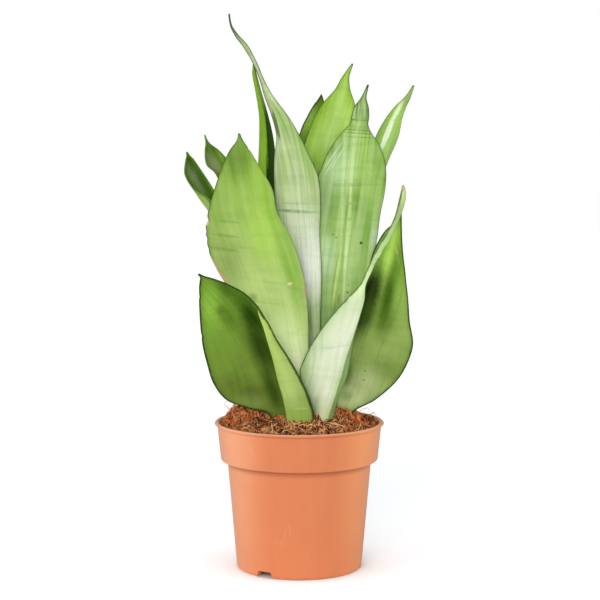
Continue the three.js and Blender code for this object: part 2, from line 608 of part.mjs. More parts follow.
function soilBody() {
  const rings = soilRings();
  const positions = [0, 0, soilHeight(0, 0)];
  rings.forEach((ring) => {
    for (let j = 0; j < POT_SIDES; j += 1) {
      const angle = (2 * Math.PI * j) / POT_SIDES;
      const x = ring.radius * Math.cos(angle);
      const y = ring.radius * Math.sin(angle);
      positions.push(x, y, ring.top ? soilHeight(x, y) : ring.z);
    }
  });
  positions.push(0, 0, FLOOR + GAP);
  const at = (k, j) => 1 + k * POT_SIDES + (j % POT_SIDES);
  const bottom = 1 + rings.length * POT_SIDES;
  const index = [];
  for (let j = 0; j < POT_SIDES; j += 1) {
    index.push(0, at(0, j), at(0, j + 1));
    for (let k = 0; k + 1 < rings.length; k += 1) {
      index.push(at(k, j), at(k + 1, j), at(k + 1, j + 1));
      index.push(at(k, j), at(k + 1, j + 1), at(k, j + 1));
    }
    index.push(bottom, at(rings.length - 1, j + 1), at(rings.length - 1, j));
  }
  const geometry = new THREE.BufferGeometry();
  geometry.setAttribute('position', new THREE.Float32BufferAttribute(positions, 3));
  geometry.setIndex(index);
  return geometry;
}

// One strand of coir that lies along the soil and dips into it at both ends
function fibreGeometry(i) {
  const reach = FIBRE_FIELD * Math.sqrt(draw(i, 1));
  const angle = 2 * Math.PI * draw(i, 2);
  const heading = 2 * Math.PI * draw(i, 3);
  const length = THREE.MathUtils.lerp(FIBRE_SHORTEST, FIBRE_LONGEST, draw(i, 4));
  const bend = THREE.MathUtils.lerp(-FIBRE_BEND, FIBRE_BEND, draw(i, 5));
  const points = FIBRE_LIFTS.map((lift, k) => {
    const place = (2 * k) / (FIBRE_LIFTS.length - 1) - 1;
    const along = (length * place) / 2;
    const aside = bend * (1 - place ** 2);
    const x = reach * Math.cos(angle) + along * Math.cos(heading) - aside * Math.sin(heading);
    const y = reach * Math.sin(angle) + along * Math.sin(heading) + aside * Math.cos(heading);
    return new THREE.Vector3(x, y, soilHeight(x, y) + lift);
  });
  const section = new THREE.Shape([
    new THREE.Vector2(-FIBRE_RADIUS, -FIBRE_RADIUS),
    new THREE.Vector2(FIBRE_RADIUS, -FIBRE_RADIUS),
    new THREE.Vector2(FIBRE_RADIUS, FIBRE_RADIUS),
    new THREE.Vector2(-FIBRE_RADIUS, FIBRE_RADIUS),
  ]);
  const path = new THREE.CatmullRomCurve3(points);
  return new THREE.ExtrudeGeometry(section, { steps: FIBRE_STEPS, extrudePath: path });
}

function buildSoil() {
  let soil = toSolid(soilBody());
  for (let i = 0; i < FIBRE_COUNT; i += 1) {
    soil = soil.add(toSolid(fibreGeometry(i)));
  }
  Object.values(LEAVES).forEach((leaf) => {
    soil = soil.subtract(toSolid(leafGeometry(leaf, GAP)));
  });
  const bodies = soil.decompose();
  bodies.sort((a, b) => b.volume() - a.volume());
  return toGeometry(bodies[0]);
}

const plant = new THREE.Group();
addMesh(plant, 'pot', buildPot(), TERRACOTTA, 0.45);
addMesh(plant, 'soil', buildSoil(), COIR, 0.95);
Object.entries(LEAVES).forEach(([name, leaf]) => {
  addMesh(plant, name, leafGeometry(leaf, 0), leaf.colour, 0.5);
});

export default plant;
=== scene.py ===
# Looks of the potted moonshine snake plant: fine leaves, soil with its coir, and the plastic pot.
# Metres, +Z up, front toward -Y. Sizes in the tables below are millimetres.
import math
import random

import bpy
from mathutils import Euler, Matrix, Vector, noise


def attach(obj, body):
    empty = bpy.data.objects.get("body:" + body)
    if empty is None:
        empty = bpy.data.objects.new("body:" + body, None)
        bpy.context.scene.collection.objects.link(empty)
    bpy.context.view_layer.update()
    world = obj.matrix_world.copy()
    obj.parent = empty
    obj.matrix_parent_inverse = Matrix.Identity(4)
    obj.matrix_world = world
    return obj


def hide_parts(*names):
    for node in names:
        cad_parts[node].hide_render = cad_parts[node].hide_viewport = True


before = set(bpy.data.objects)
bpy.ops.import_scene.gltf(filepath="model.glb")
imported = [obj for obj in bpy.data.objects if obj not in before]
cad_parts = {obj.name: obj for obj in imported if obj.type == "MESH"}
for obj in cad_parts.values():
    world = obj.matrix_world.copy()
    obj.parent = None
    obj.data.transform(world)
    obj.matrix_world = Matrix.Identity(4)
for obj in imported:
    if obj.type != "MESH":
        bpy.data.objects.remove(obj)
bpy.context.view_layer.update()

MM = 0.001

# Leaf blades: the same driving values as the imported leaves, with finer cells
CLUMP_OFFSET = 0.5
LEAF_FOOT = 93
MARGIN_THICKNESS = 0.8
BASE_THICKNESS = 4
BLADE_THICKNESS = 2.2
TIP_THICKNESS = 1
THICK_SHARE = 0.35
FOLD_THICKNESS = 1.5
LEAST_SAG = 0.3
ROUND_FOLD = 2
CELLS_ACROSS = 32
MARGIN_STRIP = 0.985
ROUNDED_MARGIN = 0.4
CELL_LENGTH = 1.3
NICK_SHARPNESS = 6
RIPPLE = 0.28
RIPPLE_WIDTH = 7
RIPPLE_LENGTH = 45
RIPPLE_FADE = 8
RIPPLE_SEED = 0.5
MARGIN_WAVE = 0.16
MARGIN_WAVE_LENGTH = 9
MARGIN_WAVE_SLICE = 4.3
MARGIN_WAVE_REACH = 5
RING_WIDTH = 1.1
RING_BOW = 0.012
LEAF_SMOOTHING = 50
UV_SCALE = 0.01
BLADE_MAP = "blade_flat"
EDGE_DISTANCE = "from_edge"

# Camera: place in metres, dip in radians
CAMERA_PLACE = (0.0005, -1.2, 0.3065)
CAMERA_DIP = 0.0966
CAMERA_LENS = 102.66
CAMERA_SENSOR = 36

# Light. A lamp: strength, then the width of its disc and its turn, in degrees
ROOM_LIGHT = 0.28
LAMPS = {
    "key": (1.0, 30, (63, 0, -12)),
    "front_panel": (0.88, 20, (84.5, 0, 0)),
    "left_panel": (1.08, 60, (72, 0, -70)),
    "right_panel": (0.84, 60, (72, 0, 68)),
}

# Floor: its size in metres. Its glow grows between two distances from the pot's axis, so that the
# floor shows a painted shadow round the pot's foot.
FLOOR_SIZE = 8
FLOOR_TONES = ((240, 244, 248), (243, 247, 250))
FLOOR_TONE_SIZE = 0.6
FLOOR_TONE_SEED = 1.0
FLOOR_SPECULAR = 0.0
FLOOR_ROUGHNESS = 0.9
FLOOR_GLOW = 0.5
FLOOR_SHADE_START = 44
FLOOR_SHADE_END = 90
FLOOR_SHADE_POWER = 0.14

# Each row of a leaf: one edge, midrib and other edge, as x, y, z each, from foot to tip. The
# blade's outer side faces the front where the first edge is the left one. slant turns the
# blade about its midrib, fold creases it. At the second row the leaf leaves the soil.
SOIL_ROW = 1
EDGE, MIDRIB, OTHER_EDGE = 0, 3, 6
MIDRIB_HEIGHT = 5
LEAVES = {
    "leaf_front_left_strip": {
        "fold": 1.4,
        "rows": [
            [-3, -12, 93, -6, -20, 93, 11, -17, 93],
            [-3, -13, 107, -7.5, -22, 107, 10.5, -19, 107],
            [-3.5, -15, 123, -10.5, -26, 123, 7, -22.5, 123],
            [-7, -18, 137.5, -14.5, -29, 137, 0.7, -25.5, 137.5],
            [-10, -22, 152, -18, -33, 151.5, -7, -29.5, 152],
            [-16.5, -28, 166, -22, -36.5, 165.5, -15.8, -34, 166.5],
            [-21.5, -33.5, 176.5, -25, -39.5, 176, -21, -37.5, 177.3],
            [-26, -39, 183.5, -27.5, -41.5, 183, -25.8, -40.5, 184.8],
            [-28.8, -42.3, 190, -29, -43, 189.7, -28.6, -42.5, 190.2],
        ],
    },
    "leaf_front_right_silver": {
        "fold": 1.3,
        "rows": [
            [9, -9, 93, 17, -15, 93, 22, -7, 93],
            [10.5, -11, 108, 18, -17, 108, 23.5, -8, 108],
            [4, -13, 124, 22.8, -21, 124, 26.3, -7.5, 125],
            [-0.3, -15, 140, 27.5, -25, 139.5, 31.8, -8, 141],
            [4, -17, 153, 30.7, -27.5, 152.5, 33.6, -12, 155],
            [12.4, -20, 168.5, 35.3, -30, 167, 33.5, -16.5, 171],
            [23, -24, 183, 40, -33, 182, 37.5, -22.5, 186],
            [33, -29, 195, 43.6, -35.5, 194, 41, -27.5, 197],
            [41, -34, 204, 44.4, -37, 203.5, 43.6, -32, 204.5],
            [45, -36, 212.5, 47.8, -38, 212, 47.3, -34, 213],
            [48.7, -36, 221.3, 52.2, -37.5, 220.7, 51.5, -33.8, 222],
            [53.3, -35.5, 230.5, 57.4, -37, 229.5, 56.5, -33.5, 231],
            [59, -35, 239.2, 62.4, -36, 238.2, 62, -33, 239.7],
            [64.3, -34.5, 250, 67.4, -35.5, 249.4, 67, -32.8, 250],
            [67, -34, 260.6, 71, -34.5, 260.4, 69.5, -32.5, 260.8],
            [68.7, -33.5, 268, 71.6, -33.8, 268, 70.3, -32, 268],
            [69.5, -33, 272, 70.2, -33.2, 272, 70.3, -32.6, 272],
        ],
    },
    "leaf_low_left": {
        "rows": [
            [-6, -5, 93, -12, -1, 93, -19, -5, 93],
            [-8, -8, 110, -14.5, -3, 110, -22, -9, 110],
            [-9.5, -12, 125, -17.5, -5, 122.5, -37, -13.5, 115.6],
            [-12, -16, 140.5, -21, -7, 136, -51.2, -17.5, 121.6],
            [-15, -20, 155, -25, -9, 148.5, -60, -21.5, 133.4],
            [-19, -24, 168, -30, -11.5, 161, -64.5, -25, 148.3],
            [-23.8, -28, 179.5, -36, -14, 173, -67.4, -28, 162.5],
            [-29.2, -32, 189, -42, -17.5, 183, -68.5, -31, 176.7],
            [-37.7, -34, 198, -50, -22, 192.5, -69, -34, 190.4],
            [-48, -36, 204, -58, -28, 200.7, -68.8, -36.5, 200.6],
            [-58, -37.5, 208, -63.3, -34, 206.5, -68.2, -38.5, 206.9],
            [-65, -39, 210, -66.4, -38.5, 209.5, -67.6, -40, 209.4],
            [-68.8, -40.6, 212, -69, -40.4, 211.8, -69.2, -41, 211.7],
        ],
    },
    "leaf_low_right": {
        "rows": [
            [35, 0, 93, 31, 6, 93, 25, 3, 93],
            [37, -3, 110, 31, 4, 110, 24.8, 1, 110],
            [52.5, -12, 120.6, 34.5, 2, 122.5, 25.5, -1, 126],
            [66, -18, 133.6, 39, 0, 136.5, 28, -3, 141],
            [73.8, -24, 147, 43.5, -3, 151, 31, -6, 158.5],
            [78, -28, 162.5, 48.5, -8, 166.5, 35, -12, 176],
            [75.4, -30.5, 178.7, 53.5, -14, 183, 40, -18, 193],
            [74, -32.5, 194.7, 58.2, -20, 199.5, 46, -25, 211],
            [71.9, -33, 212, 62.3, -25, 215, 50.2, -28, 226],
            [70, -33, 227, 65.5, -28, 228.5, 57, -28.5, 239],
            [69.3, -32, 240, 67.5, -30, 241.5, 64.3, -29.5, 246.3],
            [69.3, -31, 252, 69, -30.6, 252.2, 68.7, -30.4, 252.4],
        ],
    },
    "leaf_tall_left": {
        "slant": -0.4,
        "rows": [
            [-7, 5, 93, -1, 2, 93, 6, 4, 93],
            [-8, 5, 108, -1.5, 1, 108, 6, 4, 108],
            [-12, 4, 123, -2.5, -1, 123, 6, 2, 123],
            [-18, 3, 141, -5, -4, 141, 6, 0, 141],
            [-28.5, 1, 162, -8.5, -7, 162.5, 6.3, -3, 162],
            [-39.5, 0, 183, -12, -9.5, 184, 5.6, -6, 183.7],
            [-54, -3, 202.5, -17, -13, 204, 3.5, -9, 203],
            [-63.3, -7, 220.5, -23, -16.5, 221.5, -1, -12, 221],
            [-66.3, -10, 237, -28.5, -19, 238, -7.3, -14, 237.5],
            [-64.3, -12.5, 253, -33, -21.5, 254, -15.7, -16.5, 253],
            [-59.7, -15, 268.5, -35.5, -23, 269.5, -18.6, -18.5, 268.5],
            [-54.6, -18, 282, -38, -23.5, 283, -26.2, -20, 282],
            [-49, -20.5, 294.5, -40, -24, 295, -34, -22, 294.5],
            [-43.2, -23, 302, -41, -24, 302, -38.8, -23.5, 302],
            [-41.9, -24, 307, -41.5, -24.2, 307, -41.1, -24, 307],
        ],
    },
    "leaf_tall_centre": {
        "slant": -0.5,
        "rows": [
            [2, 13, 93, 8, 9, 93, 13, 12, 93],
            [2, 13, 108, 8, 8.5, 108, 14, 11, 108],
            [-2, 12, 132, 6, 7, 132, 13.3, 10, 132],
            [-6, 12, 153.5, 5, 6, 154, 14, 9, 153.5],
            [-10.5, 11, 182, 3, 5, 182.5, 14.6, 8, 182],
            [-14, 10.5, 210.5, 2.5, 4, 211, 15.1, 8, 210.5],
            [-16, 10, 235.5, 1, 3.5, 236, 13.8, 8, 235.5],
            [-17.5, 9.5, 257, -1, 3, 257.5, 14.4, 8, 257],
            [-18.6, 9, 276, -3, 3, 276.5, 13, 8, 276],
            [-17.9, 8.5, 292, -6, 3, 292.5, 6.3, 7.5, 292],
            [-16.6, 8.5, 306, -9.5, 3.5, 306.5, -0.3, 7, 306],
            [-19.9, 8, 320, -14.5, 4, 320.5, -9.1, 7, 320],
            [-25, 8, 334, -22, 5, 334, -19.6, 7.5, 334],
            [-28.4, 8, 345.7, -27.2, 6, 345.7, -26, 8, 345.7],
            [-33.2, 8, 357, -32, 6, 357, -30.9, 8, 357.3],
            [-39.2, 8, 367, -37.9, 6.6, 367.6, -36.8, 8, 368.3],
            [-44.3, 8, 373.8, -43.6, 7, 374.4, -42.9, 8, 375],
            [-47.9, 8.1, 380.4, -47.5, 7.6, 380.5, -47.1, 8, 380.7],
            [-49.2, 8, 385.4, -48.9, 7.7, 385.5, -48.7, 8, 385.5],
            [-49.7, 8, 390, -49.5, 7.8, 390.2, -49.3, 8.1, 390.3],
        ],
    },
    "leaf_tall_right": {
        "slant": 0.3,
        "rows": [
            [18, 14, 93, 22, 10, 93, 28, 13, 93],
            [17, 14, 108, 22, 9.5, 108, 28, 12.5, 108],
            [12, 15.5, 132, 21.5, 9.5, 132, 30.5, 12, 132],
            [8.5, 16, 156.5, 23.5, 8.5, 157, 36, 11, 156.5],
            [5.8, 16, 185, 26, 7, 185.5, 44.5, 10, 185],
            [4.5, 16, 210, 28.5, 6, 211, 50.3, 9.5, 210],
            [4.3, 16, 231.5, 31, 5.5, 232.5, 54.7, 9.5, 231.5],
            [5.7, 15.5, 249.5, 33.5, 5.5, 250, 57, 9.5, 249.5],
            [9, 15.5, 267, 35.5, 5.5, 268, 60.4, 9.5, 267],
            [15.2, 15, 283.3, 37.3, 5.5, 284, 60.8, 9.5, 283.3],
            [21.4, 14.5, 296.6, 38.7, 6, 297, 57.1, 9.5, 296.6],
            [30.3, 13.5, 308.5, 40, 6.5, 309, 49.6, 9.5, 308.5],
            [35, 12.8, 313.5, 41, 6.7, 313.5, 47.9, 9.5, 313.5],
            [36.3, 12.5, 318.5, 42, 7, 318.5, 48.5, 9.5, 318.5],
            [38.3, 12, 325.5, 43.4, 7.5, 325.8, 48, 10, 325.5],
            [43.2, 11, 331.8, 44.7, 8.8, 332, 46.3, 10, 332.2],
            [47.6, 10, 341, 47.8, 9.7, 341.2, 48, 10, 341],
        ],
    },
    "leaf_back_broad": {
        "slant": -0.3,
        "rows": [
            [3, 24, 93, 9, 21, 93, 15, 24, 93],
            [3, 25, 108, 9, 21.5, 108, 15, 25, 108],
            [1, 27, 150, 10, 22.5, 150, 19, 27, 150],
            [-1, 29, 200, 11.5, 24, 200, 24, 29, 200],
            [0, 31, 245, 14, 25.5, 245, 28.5, 31, 245],
            [1, 32, 288.7, 17.5, 26.5, 289, 33.5, 32, 288.7],
            [4.5, 32, 303, 20, 27, 303, 37, 32, 303],
            [9.9, 32.5, 317, 24, 27.5, 317, 39.5, 32.5, 317],
            [16.2, 32.5, 328, 27.5, 28, 328, 39.1, 32.5, 328],
            [25, 32.5, 338, 30.7, 29, 338, 35.8, 32, 338],
            [29.6, 32, 346, 32.5, 29.5, 346.3, 34.9, 31.5, 346.5],
            [33.3, 31.5, 351.3, 35, 30, 351.7, 36.3, 31.2, 352],
            [37, 31, 356.3, 37.4, 30.7, 356.5, 37.7, 31, 356.6],
        ],
    },
    "leaf_back_folded": {
        "slant": 0.25,
        "rows": [
            [4, 33, 93, 0, 36, 93, -5, 33, 93],
            [4, 33, 108, 0, 36.5, 108, -6, 33, 108],
            [8, 37, 170, 0, 41, 170, -8, 37, 170],
            [11, 39.5, 230, 2, 44.5, 230, -9, 39.5, 230],
            [16, 41, 280, 6, 46.5, 280, -6, 41.5, 280],
            [19, 42, 308, 9, 47.5, 308, 0.3, 42, 307.3],
            [19, 42.5, 320, 12, 47, 320, 5.5, 42.5, 319.3],
            [17.5, 43, 327.5, 13.5, 46, 327.5, 9.3, 43, 326.5],
            [17, 43.5, 331, 14.9, 45.3, 331.3, 12.8, 43.5, 331.3],
            [15.8, 44, 335, 15.4, 44.2, 335.2, 15, 44, 335],
        ],
    },
    "leaf_back_right": {
        "slant": 0.45,
        "rows": [
            [21, 25, 93, 26, 22, 93, 31, 25, 93],
            [21, 25.5, 108, 26, 22.5, 108, 31.5, 25.5, 108],
            [21, 29, 160, 28.5, 25, 160, 35.5, 29, 160],
            [26, 33, 215, 34.5, 28, 215, 42.5, 32, 215],
            [33, 36, 255, 42, 30.5, 255, 50, 34.5, 255],
            [43, 37.5, 277, 52, 32, 277, 59, 36, 276],
            [50, 38, 291, 58.5, 33, 290, 64.3, 36.5, 289.5],
            [54.4, 38.5, 305, 63.5, 34, 304.5, 70.6, 37.5, 304],
            [61.7, 39, 318, 68.2, 35.5, 317.5, 73.4, 38.5, 317.5],
            [69.2, 39.5, 327, 72.8, 37, 326.5, 76.2, 39.5, 326],
            [76.2, 40, 333.8, 78, 38.5, 333.4, 79.4, 40, 333],
            [81.4, 40.5, 341.3, 81.7, 40.2, 341.5, 82, 40.5, 341.4],
        ],
    },
    "leaf_back_channel": {
        "rows": [
            [-9, 19, 93, -15, 16, 93, -10, 12, 93],
            [-9, 20, 108, -15.5, 16.5, 108, -10, 12, 108],
            [-11, 23, 160, -20, 18, 160, -14, 13, 160],
            [-14, 25, 215, -26, 19.5, 215, -19, 14, 215],
            [-16.5, 26, 257, -29, 20, 257, -23, 14.5, 257],
            [-17.3, 26.5, 285.5, -28.5, 20, 285.5, -23.7, 15, 285.5],
            [-18.8, 26, 303, -28, 20, 303, -23.3, 15.5, 303],
            [-22.7, 25, 320.3, -28.3, 20, 320.3, -25, 16, 320.3],
            [-27.3, 23.5, 336.3, -30.8, 20, 336.3, -28.7, 17.2, 336.3],
            [-30.4, 22, 348, -33, 19.8, 348, -31.2, 18, 348],
            [-32.6, 20.4, 356.3, -33, 19.8, 356.5, -32.7, 19.2, 356.4],
        ],
    },
    "leaf_far_left_upper": {
        "slant": 0.4,
        "rows": [
            [-10, 28, 93, -15, 31, 93, -20, 28, 93],
            [-10, 28, 108, -15.5, 31.5, 108, -21, 28, 108],
            [-13, 30, 160, -20, 34, 160, -27, 30, 160],
            [-23, 32, 217, -32, 37, 215, -41, 32, 213],
            [-33, 34, 254, -42, 39.5, 250, -51, 34.5, 246],
            [-43.5, 36, 278, -52, 41, 274, -59.3, 37, 275.8],
            [-52, 37.5, 288, -60, 42, 285, -67, 38, 284.5],
            [-58.8, 38, 295.2, -64.6, 41, 294, -68.4, 38.5, 293.5],
            [-65.4, 38.5, 300.2, -66.9, 39.7, 300, -67.9, 38.7, 300],
            [-68.5, 38.8, 306.2, -68.7, 39, 306.1, -68.9, 38.7, 306],
        ],
    },
    "leaf_far_left_lower": {
        "slant": 0.3,
        "rows": [
            [-19, 14, 93, -24, 17, 93, -27, 12, 93],
            [-19.5, 14, 108, -25, 17, 108, -28, 11.5, 108],
            [-24, 18, 156, -32, 22, 154, -35, 14, 156],
            [-36, 22, 198, -43, 26, 193, -45, 17, 198],
            [-45, 24, 230, -53.5, 28.5, 222, -54, 20, 229],
            [-56, 25.5, 255.5, -63, 30, 247, -61.5, 21.5, 255],
            [-61.5, 26.5, 266.5, -69.6, 30.5, 258, -67.5, 23, 262.5],
            [-66.8, 27, 275, -74.5, 31, 268.5, -76.5, 25, 268],
            [-71.8, 27.5, 282.5, -78, 31, 278, -82.3, 27, 277.5],
            [-76, 28, 288.5, -79.8, 30.5, 286.3, -82, 28, 286],
            [-79, 28.3, 291.3, -80.2, 29.3, 291, -81, 28.4, 290.8],
            [-80.8, 28.5, 294, -81, 28.8, 293.8, -81.2, 28.4, 293.7],
        ],
    },
}

# Nicks in a margin: side (-1 at a row's first edge, 1 at the other), height, depth, half-length
NICKS = {
    "leaf_tall_left": [
        (-1, 246.5, 1.5, 1.6), (-1, 238.5, 0.7, 1.4), (-1, 233, 0.9, 2.2),
        (-1, 226, 0.6, 2.0), (-1, 255, 0.5, 1.5), (1, 296.3, 0.8, 1.2), (1, 197.5, 0.7, 3),
    ],
    "leaf_front_left_strip": [(-1, 186, 0.9, 2.0)],
    "leaf_front_right_silver": [(-1, 206, 0.7, 1.5)],
    "leaf_far_left_lower": [(-1, 262, 0.5, 1.2), (1, 262, 0.5, 1.2)],
    "leaf_low_left": [(1, 168, 0.5, 1.5), (1, 196, 0.4, 1.2)],
    "leaf_back_right": [(-1, 330, 0.5, 1.2)],
}

# Growth rings across a blade: height and depth
RINGS = {
    "leaf_tall_right": [
        (316.4, -0.14), (312.5, -0.16), (310, 0.1), (307.3, -0.16), (304.4, -0.1),
    ],
    "leaf_tall_centre": [(249.5, -0.1)],
}
